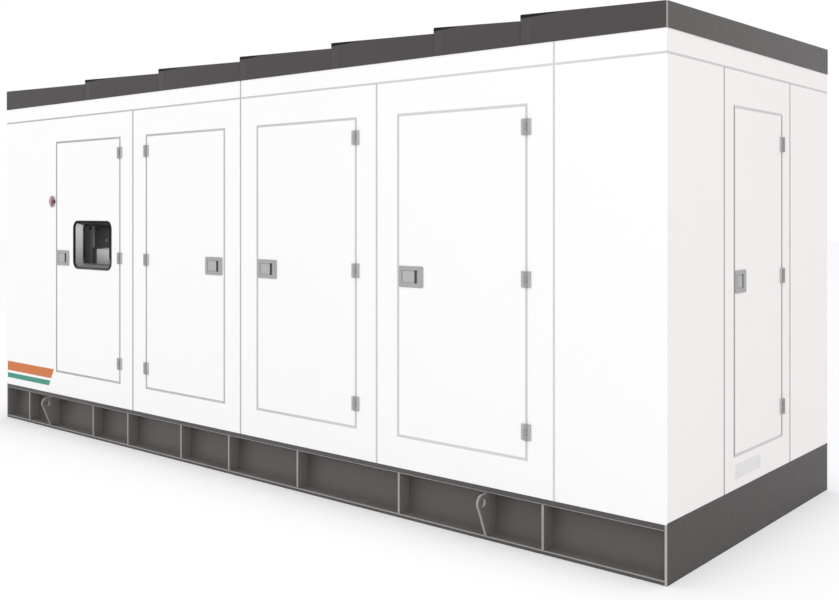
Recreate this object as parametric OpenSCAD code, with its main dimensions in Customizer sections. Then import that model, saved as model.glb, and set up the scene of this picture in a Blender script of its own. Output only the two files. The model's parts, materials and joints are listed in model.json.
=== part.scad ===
// Sound-proof enclosure of a diesel generating set on its steel skid.
// X runs along the length, Y from the front wall to the back wall, Z up.
// The origin is on the ground, under the middle of the enclosure.

/* [Enclosure] */
// Length over the wall corners
length = 6720; // [5600:10:8100]
// Width over the wall corners
width = 2400; // [2000:10:2900]
// Thickness of the lined wall panels
wall_t = 80; // [66:1:100]
// Height of the header band between the panels and the roof
header_h = 128; // [100:1:160]
// Width of the seams between panels
seam_w = 3; // [2:0.5:6]
// Depth of a seam that is only a groove
seam_depth = 4; // [2:0.5:8]

/* [Roof] */
// Fascia height at the low end of each roof panel
roof_low_h = 139; // [110:1:170]
// Rise of each roof panel along its length
roof_rise = 36; // [20:1:50]
// Rise of the roof from the front wall to the back wall
roof_cross_rise = 34; // [0:1:50]
// Overhang of the roof panels past the walls
roof_lap = 4; // [0:1:12]

/* [Skid] */
// Height of the skid
skid_h = 313; // [260:1:380]
// Width of the channel flanges
flange_w = 105; // [85:1:130]
// Thickness of the top flange
top_flange_t = 34; // [20:1:45]
// Thickness of the bottom flange
bottom_flange_t = 25; // [15:1:35]
// Thickness of the channel web
web_t = 12; // [8:1:20]
// Thickness of the plates that close the ends of the skid
end_plate_t = 15; // [10:1:25]
// Thickness of the stiffeners between the flanges
stiffener_t = 16; // [8:1:24]
// Thickness of the floor plate
deck_t = 6; // [4:1:12]
// Height of the beams under the floor
beam_h = 180; // [120:1:220]
// Width of the beams under the floor
beam_w = 90; // [60:1:140]

/* [Lifting lugs] */
// Thickness of a lug plate
lug_t = 20; // [12:1:30]
// Reach of a lug past the flange edge
lug_reach = 82; // [70:1:110]
// Diameter of the hole in a lug
lug_hole_d = 50; // [36:1:54]
// Distance of the hole outside the flange edge
lug_hole_out = 34; // [30:1:40]
// Distance of the hole below the top of the skid
lug_hole_drop = 88; // [80:1:100]
// Distance from the control end to its lugs
lug_from_left = 762; // [640:1:900]
// Distance from the other end to its lugs
lug_from_right = 1157; // [970:1:1390]

/* [Doors] */
// Width of the front doorways without a window
door_w = 980; // [810:5:1040]
// Height of the doorways
door_h = 2022; // [1680:2:2420]
// Height of the sill above the skid
door_sill = 198; // [120:1:300]
// Height of the wall between a doorway and the header
door_head = 208; // [120:1:300]
// Width of the wall from a front doorway to the next seam
door_margin = 179; // [150:0.5:220]
// Width of the doorway in the end wall
end_door_w = 736; // [600:2:870]
// Width of the wall from the end doorway to the next seam
end_door_margin = 133; // [120:1:170]
// Gap round a door leaf
door_gap = 10; // [8:1:12]
// Thickness of a whole door leaf
door_t = 75; // [62:1:80]
// Thickness of the outer pan of a door leaf
door_pan_t = 45; // [36:1:54]
// Width of the stop behind the edge of a door
stop_w = 30; // [20:1:40]
// Space between a closed door and its stop
stop_space = 5; // [4:1:8]

/* [Hinges] */
// Height of a hinge
hinge_h = 92; // [80:1:115]
// Width of each hinge plate
hinge_plate_w = 22; // [16:1:30]
// Thickness of the hinge plates
hinge_plate_t = 8; // [5:1:10]
// Radius of the hinge knuckles
knuckle_r = 9; // [8:0.5:10]
// Radius of the hinge pin
pin_r = 4; // [3:0.5:5]
// Running gap of the hinge pin
pin_gap = 0.3; // [0.2:0.1:0.5]
// Space between the knuckles of one hinge
knuckle_space = 1.5; // [1:0.5:3]
// Distance of the hinge pin outside the wall face
pin_out = 12; // [11:0.5:14]
// Top of a front doorway to its top hinge
hinge_top_inset = 129; // [100:1:180]
// Bottom of a front doorway to its bottom hinge
hinge_bottom_inset = 161; // [100:1:200]
// Ends of the end doorway to its top and bottom hinges
end_hinge_inset = 189; // [150:1:230]

/* [Latches] */
// Width of a front latch plate
latch_w = 200; // [190:1:230]
// Width of the latch plate on the end door
end_latch_w = 156; // [145:1:170]
// Height of the latch plates
latch_h = 133; // [120:1:160]
// Thickness of the latch plates
latch_t = 4; // [3:0.5:6]
// Corner radius of the latch plates
latch_r = 12; // [8:1:20]
// Edge of a latch plate to the edge of its door
latch_inset = 2; // [1:1:8]
// Edge of the latch plate to the edge of a door hung on its left
left_hung_latch_inset = 15; // [1:1:30]
// Edge of a latch plate to its tray
latch_border = 26; // [16:1:30]
// Width of the paddle on a front latch
paddle_w = 97; // [80:1:110]
// Width of the paddle on the end latch
end_paddle_w = 62; // [55:1:70]
// Height of the paddles
paddle_h = 72; // [60:1:76]
// Thickness of the paddles
paddle_t = 5; // [4:0.5:8]
// Free space round a paddle
paddle_gap = 5; // [5:0.5:6]
// Width of the finger slot beside a paddle
finger_w = 26; // [22:1:30]
// Depth of the latch tray behind the door face
tray_depth = 26; // [22:1:32]
// Thickness of the tray walls
tray_t = 2; // [1.5:0.5:3]
// Radius of the paddle pin
paddle_pin_r = 2.5; // [2:0.5:3]
// Height of the latches above the middle of the doorway
latch_rise = -5; // [-20:1:60]

/* [Window] */
// Width of the window opening in the control door
window_w = 559; // [480:1:600]
// Height of the window opening
window_h = 392; // [350:1:500]
// Corner radius of the window opening
window_r = 55; // [30:1:80]
// Middle of the window to the middle of its door
window_shift = 75; // [50:1:90]
// Window opening to the hinge edge of its door
window_to_edge = 125.5; // [90:0.5:140]
// Sill of the doorway to the middle of the window
window_rise = 1124.5; // [900:0.5:1300]
// Width of the seal over the door face
seal_lap = 12; // [8:1:18]
// Width of the seal inside the opening
seal_w = 14; // [10:1:20]
// Depth of the seal inside the opening
seal_depth = 14; // [12:1:20]
// Thickness of the seal on the door face
seal_lip_t = 4; // [2:0.5:6]
// Thickness of the window glass
glass_t = 6; // [4:1:8]
// Depth of the groove that holds the glass
glass_bite = 8; // [5:1:9]

/* [Control end] */
// Radius of the emergency stop plate
stop_plate_r = 52; // [44:1:60]
// Thickness of the emergency stop plate
stop_plate_t = 5; // [3:0.5:8]
// Radius of the emergency stop button
stop_button_r = 33; // [24:1:38]
// Thickness of the button head
stop_head_t = 12; // [10:1:22]
// Radius of the button stem
stop_stem_r = 9; // [7:0.5:11]
// Running gap of the button stem
stop_stem_gap = 0.4; // [0.3:0.1:1]
// Space between the button head and its plate
stop_standoff = 9; // [9:0.5:14]
// Doorway edge to the middle of the emergency stop
stop_from_door = 64; // [62:1:80]
// Height of the emergency stop above the doorway sill
stop_rise = 1499; // [1300:1:1600]
// Width of the control cabinet
cabinet_w = 1060; // [900:5:1150]
// Depth of the control cabinet
cabinet_d = 420; // [300:5:600]
// Height of the control cabinet above the floor
cabinet_h = 1760; // [1500:5:2000]
// Outside of the front wall to the face of the cabinet
cabinet_set_back = 240; // [200:5:320]
// Middle of the control door to the middle of the cabinet
cabinet_shift = 100; // [0:5:110]
// Middle of the window to the middle of the operator panel
panel_shift = 42; // [0:1:60]
// Middle of the window to the lower edge of the operator panel
panel_drop = 30; // [0:1:60]
// Width of the operator panel
panel_w = 560; // [450:5:600]
// Height of the operator panel
panel_h = 360; // [300:5:400]
// Thickness of the operator panel
panel_t = 14; // [8:1:25]
// Width of the relay box below the operator panel
relay_w = 190; // [150:5:240]
// Height of the relay box
relay_h = 200; // [150:5:240]
// Depth of the relay box
relay_d = 60; // [40:5:80]
// Edge of the operator panel to the relay box
relay_inset = 107; // [20:1:150]
// Space between the operator panel and the relay box
relay_space = 10; // [5:1:20]

/* [Hidden] */

// Heights of the wall, from the ground up
door_z = skid_h + door_sill;
head_z = door_z + door_h;
header_z = head_z + door_head;
roof_z = header_z + header_h;

// Doorways and bays along the front, from the control end. The control door
// is as wide as its window needs.
control_door_w = 2 * (window_shift + window_w / 2 + window_to_edge + door_gap);
door_ws = [control_door_w, door_w, door_w, door_w];
bay_ws = [for (w = door_ws) w + 2 * door_margin];
bay_edges = [for (i = [0 : 4]) sum_of(bay_ws, i) - sum_of(bay_ws, 4) / 2];
door_x = [for (i = [0 : 3]) (bay_edges[i] + bay_edges[i + 1]) / 2];
header_seams = [bay_edges[2], bay_edges[4]];

// The same bays on the back wall, where x runs the other way
back_cuts = concat([-length / 2], [for (i = [4 : -1 : 1]) -bay_edges[i]], [length / 2]);
back_door_x = [for (i = [3 : -1 : 0]) -door_x[i]];
back_door_ws = [for (i = [3 : -1 : 0]) door_ws[i]];

// Seams of the end walls
end_seams = [for (s = [-1, 1]) s * (end_door_w / 2 + end_door_margin)];

// Doors: +1 has its hinges on the right as seen from outside, -1 on the left
door_hand = [1, -1, 1, 1];
latch_insets = [for (h = door_hand) h > 0 ? latch_inset : left_hung_latch_inset];
hinge_z = [door_z + hinge_bottom_inset,
           (door_z + hinge_bottom_inset + head_z - hinge_top_inset) / 2,
           head_z - hinge_top_inset];
end_hinge_z = [door_z + end_hinge_inset, (door_z + head_z) / 2, head_z - end_hinge_inset];
latch_z = (door_z + head_z) / 2 + latch_rise;
hinge_clearance = 2;
knuckle_start = knuckle_r + hinge_clearance;

// Trays of the latches, paddles and their pins
tray_in_h = paddle_h + 2 * paddle_gap;
tray_out_h = tray_in_h + 2 * tray_t;
paddle_y = paddle_t / 2;
paddle_pin_l = tray_out_h - 2 * pin_gap;

// Stops: how deep in the wall they start, and what is left for the door behind
stop_depth = door_pan_t + stop_space;
block_inset = stop_w + door_gap;

// Steel behind the skid's flange edge, and where the floor lies
web_in = flange_w - web_t;
deck_z = skid_h - deck_t;
skid_inner_l = length - 2 * end_plate_t;
stiffener_shares = [0.061, 0.215, 0.290, 0.395, 0.480, 0.589, 0.727, 0.887];
beam_shares = [0.1, 0.3, 0.5, 0.7, 0.9];
lug_x = [-length / 2 + lug_from_left, length / 2 - lug_from_right];

// Roof panel joints, counted in bays from the first bay's edge
roof_joint_bays = [0.48, 1.26, 1.995, 2.695, 3.354, 3.832];
roof_joints = concat([-length / 2], [for (t = roof_joint_bays) bay_place(t)], [length / 2]);

// Places of the control equipment
window_x = door_x[0] + window_shift;
window_z = door_z + window_rise;
stop_x = door_x[0] - control_door_w / 2 - stop_from_door;
stop_z = door_z + stop_rise;
cabinet_x = door_x[0] - cabinet_shift;
panel_x = window_x - panel_shift;
panel_z = window_z - panel_drop;
stop_pocket_space = 8;
stop_pocket_r = stop_stem_r + stop_pocket_space;

white = "white";
steel_grey = [0.33, 0.31, 0.30];
edge_grey = [0.62, 0.61, 0.60];
fitting_grey = [0.68, 0.68, 0.68];

$fn = 48;

// Sum of the first n values of a list
function sum_of(list, n) = n == 0 ? 0 : list[n - 1] + sum_of(list, n - 1);

// Place t bays along the front; the whole part of t picks the bay
function bay_place(t) =
    bay_edges[floor(t)] + (t - floor(t)) * bay_ws[floor(t)];

// Inner width of the tray behind a paddle of width pad_w
function tray_inner_w(pad_w) = paddle_gap + pad_w + finger_w;

// ---- Faces: each wall is drawn with x to the right as seen from outside,
// y running into the wall, z up, and x = 0 at the middle of the wall.
module on_front() { translate([0, -width / 2, 0]) children(); }
module on_back() { translate([0, width / 2, 0]) rotate([0, 0, 180]) children(); }
module on_right() { translate([length / 2, 0, 0]) rotate([0, 0, 90]) children(); }
module on_left() { translate([-length / 2, 0, 0]) rotate([0, 0, -90]) children(); }

// A box from corner to corner
module block(low, high) { translate(low) cube(high - low); }

// A flat shape drawn in x and z, carried from depth y0 to y1
module face_plate(y0, y1) {
    translate([0, y1, 0]) rotate([90, 0, 0]) linear_extrude(y1 - y0) children();
}

// Rectangle w by h about the origin with corners of radius r
module round_rect(w, h, r) {
    polygon([for (q = [0 : 3]) for (k = [0 : 8])
        let (sx = (q == 0 || q == 3) ? 1 : -1, sz = q < 2 ? 1 : -1, a = 90 * q + 90 * k / 8)
        [sx * (w / 2 - r) + r * cos(a), sz * (h / 2 - r) + r * sin(a)]]);
}

// Plan of a wall piece from x0 to x1 in a wall of half length half:
// an end that reaches the corner is mitred
module wall_plan(x0, x1, half, inset = 0) {
    left_in = x0 <= -half ? wall_t : 0;
    right_in = x1 >= half ? wall_t : 0;
    left_out = x0 <= -half ? inset : 0;
    right_out = x1 >= half ? inset : 0;
    polygon([[x0 + left_out, inset], [x1 - right_out, inset],
             [x1 - right_in, wall_t], [x0 + left_in, wall_t]]);
}

// Upright wall piece; stop is -1 or +1 where a doorway lies on that side
module upright(x0, x1, half, stop) {
    translate([0, 0, skid_h]) linear_extrude(header_z - skid_h) wall_plan(x0, x1, half);
    if (stop > 0)
        block([x1, stop_depth, door_z + stop_w], [x1 + stop_w, wall_t, head_z - stop_w]);
    if (stop < 0)
        block([x0 - stop_w, stop_depth, door_z + stop_w], [x0, wall_t, head_z - stop_w]);
}

// Rails above and below a doorway of width w at x, each with its stop
module rails(x, w) {
    block([x - w / 2, 0, skid_h], [x + w / 2, wall_t, door_z]);
    block([x - w / 2, stop_depth, door_z], [x + w / 2, wall_t, door_z + stop_w]);
    block([x - w / 2, 0, head_z], [x + w / 2, wall_t, header_z]);
    block([x - w / 2, stop_depth, head_z - stop_w], [x + w / 2, wall_t, head_z]);
}

// Header band piece; its lower edge is cut back to show a seam
module header_piece(x0, x1, half) {
    translate([0, 0, header_z]) linear_extrude(seam_w) wall_plan(x0, x1, half, seam_depth);
    translate([0, 0, header_z + seam_w]) linear_extrude(header_h - seam_w) wall_plan(x0, x1, half);
}

// Groove that shows the outline of a fixed door
module door_groove(x, w) {
    difference() {
        block([x - w / 2, -1, door_z], [x + w / 2, seam_depth * 2, head_z]);
        block([x - w / 2 + door_gap, -2, door_z + door_gap],
              [x + w / 2 - door_gap, seam_depth * 3, head_z - door_gap]);
    }
}

// Full-height wall piece of a closed wall
module closed_piece(x0, x1, half) {
    difference() {
        translate([0, 0, skid_h]) linear_extrude(roof_z - skid_h) wall_plan(x0, x1, half);
        block([x0 - 1, -1, header_z], [x1 + 1, seam_depth, header_z + seam_w]);
        children();
    }
}

// ---- Skid: a welded channel along each side, open outwards
module web_plate() {
    half = skid_inner_l / 2;
    block([-half, web_in, bottom_flange_t], [half, flange_w, skid_h - top_flange_t]);
}

module flange_plates() {
    half = skid_inner_l / 2;
    block([-half, 0, 0], [half, flange_w, bottom_flange_t]);
    block([-half, 0, skid_h - top_flange_t], [half, flange_w, skid_h]);
}

module skid_webs() {
    color(steel_grey) {
        on_front() web_plate();
        on_back() web_plate();
    }
}

module skid_flanges() {
    color(steel_grey) {
        on_front() flange_plates();
        on_back() flange_plates();
    }
}

module skid_end_plates() {
    color(steel_grey) for (s = [-1, 1])
        translate([s * (length - end_plate_t) / 2 - end_plate_t / 2, -width / 2, 0])
            cube([end_plate_t, width, skid_h]);
}

module stiffener_row(shares) {
    for (share = shares) {
        x = (share - 0.5) * length;
        block([x - stiffener_t / 2, 0, bottom_flange_t],
              [x + stiffener_t / 2, web_in, skid_h - top_flange_t]);
    }
}

module skid_stiffeners() {
    color(edge_grey) {
        on_front() stiffener_row(stiffener_shares);
        on_back() stiffener_row([for (share = stiffener_shares) 1 - share]);
    }
}

module floor_beams() {
    color(steel_grey) for (share = beam_shares)
        translate([(share - 0.5) * length - beam_w / 2, flange_w - width / 2, deck_z - beam_h])
            cube([beam_w, width - 2 * flange_w, beam_h]);
}

module floor_deck() {
    color(steel_grey)
        translate([-skid_inner_l / 2, flange_w - width / 2, deck_z])
            cube([skid_inner_l, width - 2 * flange_w, deck_t]);
}

// Lug plate between the flanges that widens upwards past the flange edge
module lug() {
    top = skid_h - top_flange_t;
    hole_z = skid_h - lug_hole_drop;
    round_r = lug_reach - lug_hole_out;
    difference() {
        union() {
            rotate([90, 0, 90]) linear_extrude(lug_t) polygon([
                [web_in, bottom_flange_t], [0, bottom_flange_t],
                [-lug_reach, hole_z], [-lug_hole_out, hole_z + round_r],
                [0, hole_z + round_r], [0, top], [web_in, top]]);
            translate([0, -lug_hole_out, hole_z]) rotate([0, 90, 0]) cylinder(r = round_r, h = lug_t);
        }
        translate([-1, -lug_hole_out, hole_z]) rotate([0, 90, 0])
            cylinder(d = lug_hole_d, h = lug_t + 2);
    }
}

module lifting_lugs() {
    color(edge_grey) {
        on_front() for (x = lug_x) translate([x - lug_t / 2, 0, 0]) lug();
        on_back() for (x = lug_x) translate([-x - lug_t / 2, 0, 0]) lug();
    }
}

// ---- Walls
module front_wall_panels() {
    half = length / 2;
    color(white) on_front() {
        difference() {
            upright(-half, door_x[0] - door_ws[0] / 2, half, 1);
            translate([stop_x, -1, stop_z]) rotate([-90, 0, 0])
                cylinder(r = stop_pocket_r, h = wall_t / 2 + 1);
        }
        for (i = [0 : 3]) {
            seam = bay_edges[i + 1];
            upright(door_x[i] + door_ws[i] / 2, seam - seam_w / 2, half, -1);
            if (i < 3)
                upright(seam + seam_w / 2, door_x[i + 1] - door_ws[i + 1] / 2, half, 1);
        }
        upright(bay_edges[4] + seam_w / 2, half, half, 0);
    }
}

module front_wall_rails() {
    color(white) on_front() for (i = [0 : 3]) rails(door_x[i], door_ws[i]);
}

module front_header() {
    half = length / 2;
    cuts = concat([-half], header_seams, [half]);
    color(white) on_front() for (i = [0 : len(cuts) - 2])
        header_piece(cuts[i] + (i > 0 ? seam_w / 2 : 0),
                     cuts[i + 1] - (i < len(cuts) - 2 ? seam_w / 2 : 0), half);
}

module right_wall_panels() {
    half = width / 2;
    color(white) on_right() {
        upright(-half, end_seams[0] - seam_w / 2, half, 0);
        upright(end_seams[0] + seam_w / 2, -end_door_w / 2, half, 1);
        upright(end_door_w / 2, end_seams[1] - seam_w / 2, half, -1);
        upright(end_seams[1] + seam_w / 2, half, half, 0);
    }
}

module right_wall_rails() {
    color(white) on_right() rails(0, end_door_w);
}

module right_header() {
    color(white) on_right() header_piece(-width / 2, width / 2, width / 2);
}

module back_wall_panels() {
    color(white) on_back() for (i = [0 : 4]) {
        left = back_cuts[i] + (i > 0 ? seam_w / 2 : 0);
        right = back_cuts[i + 1] - (i < 4 ? seam_w / 2 : 0);
        closed_piece(left, right, length / 2) {
            if (i > 0)
                door_groove(back_door_x[i - 1], back_door_ws[i - 1]);
        }
    }
}

module left_wall_panels() {
    half = width / 2;
    color(white) on_left() {
        closed_piece(-half, end_seams[0] - seam_w / 2, half);
        closed_piece(end_seams[0] + seam_w / 2, end_seams[1] - seam_w / 2, half)
            door_groove(0, end_door_w);
        closed_piece(end_seams[1] + seam_w / 2, half, half);
    }
}

// ---- Roof: panels that fall towards the right end and towards the front
module roof_panel(x0, x1) {
    run = x1 - x0;
    deep = width + 2 * roof_lap;
    slope_x = roof_rise / run;
    slope_y = roof_cross_rise / deep;
    tilt = atan(norm([slope_x, slope_y]));
    tall = roof_low_h + roof_rise + roof_cross_rise;
    difference() {
        block([x0, -deep / 2, roof_z], [x1, deep / 2, roof_z + tall + 1]);
        translate([x1, -deep / 2, roof_z + roof_low_h])
            rotate(tilt, [slope_y, slope_x, 0])
                translate([-2 * run, -deep, 0]) cube([3 * run, 3 * deep, 2 * tall]);
    }
}

module roof_panels() {
    last = len(roof_joints) - 2;
    color(steel_grey) for (i = [0 : last]) {
        left = roof_joints[i] + (i == 0 ? -roof_lap : seam_w / 2);
        right = roof_joints[i + 1] + (i == last ? roof_lap : -seam_w / 2);
        roof_panel(left, right);
    }
}

// ---- Hinges: drawn with the pin at x = y = 0, the wall face at y = pin_out,
// the frame to the right and the door to the left
module hinge_plate(side) {
    x0 = side > 0 ? knuckle_start : -knuckle_start - hinge_plate_w;
    block([x0, pin_out - hinge_plate_t, -hinge_h / 2],
          [x0 + hinge_plate_w, pin_out, hinge_h / 2]);
}

module knuckle(side, z0, z1) {
    translate([0, 0, z0]) cylinder(r = knuckle_r, h = z1 - z0);
    block([side > 0 ? 0 : -knuckle_start - 1, -hinge_plate_t / 2, z0],
          [side > 0 ? knuckle_start + 1 : 0, pin_out - hinge_plate_t / 2, z1]);
}

module frame_hinge() {
    hinge_plate(1);
    for (s = [-1, 1]) {
        z0 = s > 0 ? hinge_h / 6 + knuckle_space / 2 : -hinge_h / 2;
        knuckle(1, z0, z0 + hinge_h / 3 - knuckle_space / 2);
    }
    translate([0, 0, -hinge_h / 2]) cylinder(r = pin_r, h = hinge_h);
}

module door_hinge() {
    hinge_plate(-1);
    difference() {
        knuckle(-1, -hinge_h / 6 + knuckle_space / 2, hinge_h / 6 - knuckle_space / 2);
        translate([0, 0, -hinge_h]) cylinder(r = pin_r + pin_gap, h = 2 * hinge_h);
    }
}

module closed_hinge() {
    hinge_plate(1);
    hinge_plate(-1);
    knuckle(1, -hinge_h / 2, hinge_h / 2);
    knuckle(-1, -hinge_h / 2, hinge_h / 2);
}

// Places children at the three hinges of a doorway of width w at x
module at_hinges(x, w, hand, heights) {
    for (z = heights)
        translate([x + hand * (w / 2 - door_gap / 2), -pin_out, z])
            mirror([hand < 0 ? 1 : 0, 0, 0]) children();
}

module frame_hinges() {
    color(fitting_grey) {
        on_front() for (i = [0 : 3])
            at_hinges(door_x[i], door_ws[i], door_hand[i], hinge_z) frame_hinge();
        on_right() at_hinges(0, end_door_w, 1, end_hinge_z) frame_hinge();
    }
}

module back_hinges() {
    color(fitting_grey) {
        on_back() for (i = [0 : 3])
            at_hinges(back_door_x[i], back_door_ws[i], door_hand[i], hinge_z) closed_hinge();
        on_left() at_hinges(0, end_door_w, 1, end_hinge_z) closed_hinge();
    }
}

// ---- Doors: drawn in a doorway of width w at x = 0, hinges on the right;
// a door hung on its left is the mirror image, apart from its latch
module leaf(w, plate_w, pad_w, inset = latch_inset, hand = 1) {
    difference() {
        union() {
            block([door_gap - w / 2, 0, door_z + door_gap],
                  [w / 2 - door_gap, door_pan_t, head_z - door_gap]);
            block([block_inset - w / 2, door_pan_t, door_z + block_inset],
                  [w / 2 - block_inset, door_t, head_z - block_inset]);
        }
        at_latch(w, plate_w, inset) same_way(hand)
            block([latch_border - tray_t - plate_w / 2, -1, -tray_out_h / 2],
                  [latch_border + tray_inner_w(pad_w) + tray_t - plate_w / 2, tray_depth,
                   tray_out_h / 2]);
        children();
    }
}

// Puts x = z = 0 at the middle of the latch plate
module at_latch(w, plate_w, inset = latch_inset) {
    translate([door_gap + inset + plate_w / 2 - w / 2, 0, latch_z]) children();
}

// Turns a latch back in a door that is a mirror image: all latches are one part
module same_way(hand) {
    mirror([hand < 0 ? 1 : 0, 0, 0]) children();
}

// Plate with a tray behind the paddle and the finger slot
module latch(plate_w, pad_w) {
    tray_x = latch_border - plate_w / 2;
    in_w = tray_inner_w(pad_w);
    difference() {
        union() {
            face_plate(-latch_t, 0) round_rect(plate_w, latch_h, latch_r);
            block([tray_x - tray_t, 0, -tray_out_h / 2],
                  [tray_x + in_w + tray_t, tray_depth, tray_out_h / 2]);
        }
        block([tray_x, -latch_t - 1, -tray_in_h / 2],
              [tray_x + in_w, tray_depth - tray_t, tray_in_h / 2]);
        translate([tray_x + paddle_gap + paddle_t / 2, paddle_y, -tray_out_h])
            cylinder(r = paddle_pin_r + pin_gap, h = 2 * tray_out_h);
    }
}

// Paddle flush with its plate, turning on a pin next to the door edge
module paddle(plate_w, pad_w) {
    pin_x = latch_border - plate_w / 2 + paddle_gap + paddle_t / 2;
    block([pin_x - paddle_t / 2, -latch_t, -paddle_h / 2],
          [pin_x - paddle_t / 2 + pad_w, paddle_t - latch_t, paddle_h / 2]);
    block([pin_x - paddle_t / 2, paddle_y - paddle_t / 2, -paddle_h / 2],
          [pin_x + paddle_t / 2, paddle_y + paddle_t / 2, paddle_h / 2]);
    translate([pin_x, paddle_y, -paddle_pin_l / 2])
        cylinder(r = paddle_pin_r, h = paddle_pin_l);
}

// Places a door of the front wall, or the door of the right wall
module front_door(i) {
    on_front() translate([door_x[i], 0, 0]) mirror([door_hand[i] < 0 ? 1 : 0, 0, 0]) children();
}

module window_shape(grow) {
    round_rect(window_w + 2 * grow, window_h + 2 * grow, window_r + grow);
}

module at_window() {
    on_front() translate([window_x, 0, window_z]) children();
}

module door_1() {
    color(white) front_door(0) leaf(control_door_w, latch_w, paddle_w)
        translate([window_shift, 0, window_z]) face_plate(-1, door_t + 1) window_shape(0);
}

module door_1_window_seal() {
    color("black") at_window() difference() {
        union() {
            face_plate(-seal_lip_t, 0) window_shape(seal_lap);
            face_plate(0, seal_depth) window_shape(0);
        }
        face_plate(-seal_lip_t - 1, seal_depth + 1) window_shape(-seal_w);
        face_plate((seal_depth - glass_t) / 2, (seal_depth + glass_t) / 2)
            window_shape(glass_bite - seal_w);
    }
}

module door_1_glass() {
    color([0.6, 0.7, 0.75, 0.4]) at_window()
        face_plate((seal_depth - glass_t) / 2, (seal_depth + glass_t) / 2)
            window_shape(glass_bite - seal_w);
}

module front_leaf(i) {
    color(white) front_door(i)
        leaf(door_ws[i], latch_w, paddle_w, latch_insets[i], door_hand[i]);
}

module front_latch(i) {
    color(fitting_grey) front_door(i)
        at_latch(door_ws[i], latch_w, latch_insets[i]) same_way(door_hand[i])
            latch(latch_w, paddle_w);
}

module front_paddle(i) {
    color(fitting_grey) front_door(i)
        at_latch(door_ws[i], latch_w, latch_insets[i]) same_way(door_hand[i])
            paddle(latch_w, paddle_w);
}

module front_hinges(i) {
    color(fitting_grey) on_front()
        at_hinges(door_x[i], door_ws[i], door_hand[i], hinge_z) door_hinge();
}

module end_door() {
    color(white) on_right() leaf(end_door_w, end_latch_w, end_paddle_w);
}

module end_door_hinges() {
    color(fitting_grey) on_right()
        at_hinges(0, end_door_w, 1, end_hinge_z) door_hinge();
}

module end_door_latch() {
    color(fitting_grey) on_right()
        at_latch(end_door_w, end_latch_w) latch(end_latch_w, end_paddle_w);
}

module end_door_paddle() {
    color(fitting_grey) on_right()
        at_latch(end_door_w, end_latch_w) paddle(end_latch_w, end_paddle_w);
}

// Latch of a fixed door: plate and paddle in one
module closed_latch(plate_w, pad_w) {
    tray_x = latch_border - plate_w / 2;
    face_plate(-latch_t, 0) round_rect(plate_w, latch_h, latch_r);
    block([tray_x + paddle_gap, -latch_t - paddle_t, -paddle_h / 2],
          [tray_x + paddle_gap + pad_w, -latch_t, paddle_h / 2]);
}

module back_latches() {
    color(fitting_grey) {
        on_back() for (i = [0 : 3])
            translate([back_door_x[i], 0, 0]) mirror([door_hand[i] < 0 ? 1 : 0, 0, 0])
                at_latch(back_door_ws[i], latch_w, latch_insets[i]) same_way(door_hand[i])
                    closed_latch(latch_w, paddle_w);
        on_left() at_latch(end_door_w, end_latch_w) closed_latch(end_latch_w, end_paddle_w);
    }
}

// ---- Control end
module at_stop() {
    on_front() translate([stop_x, 0, stop_z]) rotate([90, 0, 0]) children();
}

module stop_plate() {
    color(fitting_grey) at_stop() difference() {
        cylinder(r = stop_plate_r, h = stop_plate_t);
        translate([0, 0, -1]) cylinder(r = stop_stem_r + stop_stem_gap, h = stop_plate_t + 2);
    }
}

module stop_button() {
    head_z = stop_plate_t + stop_standoff;
    color("darkred") at_stop() {
        translate([0, 0, -stop_plate_t]) cylinder(r = stop_stem_r, h = head_z + stop_plate_t + 1);
        translate([0, 0, head_z]) cylinder(r = stop_button_r, h = stop_head_t);
    }
}

module control_cabinet() {
    color([0.35, 0.35, 0.36]) on_front()
        translate([cabinet_x - cabinet_w / 2, cabinet_set_back, skid_h])
            cube([cabinet_w, cabinet_d, cabinet_h]);
}

module control_panel() {
    color([0.06, 0.06, 0.08]) on_front()
        translate([panel_x - panel_w / 2, cabinet_set_back - panel_t, panel_z])
            cube([panel_w, panel_t, panel_h]);
}

module relay_box() {
    color([0.75, 0.75, 0.75]) on_front()
        translate([panel_x - panel_w / 2 + relay_inset, cabinet_set_back - relay_d,
                   panel_z - relay_space - relay_h])
            cube([relay_w, relay_d, relay_h]);
}

skid_webs();
skid_flanges();
skid_end_plates();
skid_stiffeners();
floor_beams();
floor_deck();
lifting_lugs();
front_wall_panels();
front_wall_rails();
front_header();
right_wall_panels();
right_wall_rails();
right_header();
back_wall_panels();
left_wall_panels();
roof_panels();
frame_hinges();
back_hinges();
back_latches();
door_1();
front_hinges(0);  // door_1_hinges
front_latch(0);  // door_1_latch
front_paddle(0);  // door_1_paddle
door_1_window_seal();
door_1_glass();
front_leaf(1);  // door_2
front_hinges(1);  // door_2_hinges
front_latch(1);  // door_2_latch
front_paddle(1);  // door_2_paddle
front_leaf(2);  // door_3
front_hinges(2);  // door_3_hinges
front_latch(2);  // door_3_latch
front_paddle(2);  // door_3_paddle
front_leaf(3);  // door_4
front_hinges(3);  // door_4_hinges
front_latch(3);  // door_4_latch
front_paddle(3);  // door_4_paddle
end_door();
end_door_hinges();
end_door_latch();
end_door_paddle();
stop_plate();
stop_button();
control_cabinet();
control_panel();
relay_box();
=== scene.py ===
import json
import math

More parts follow.
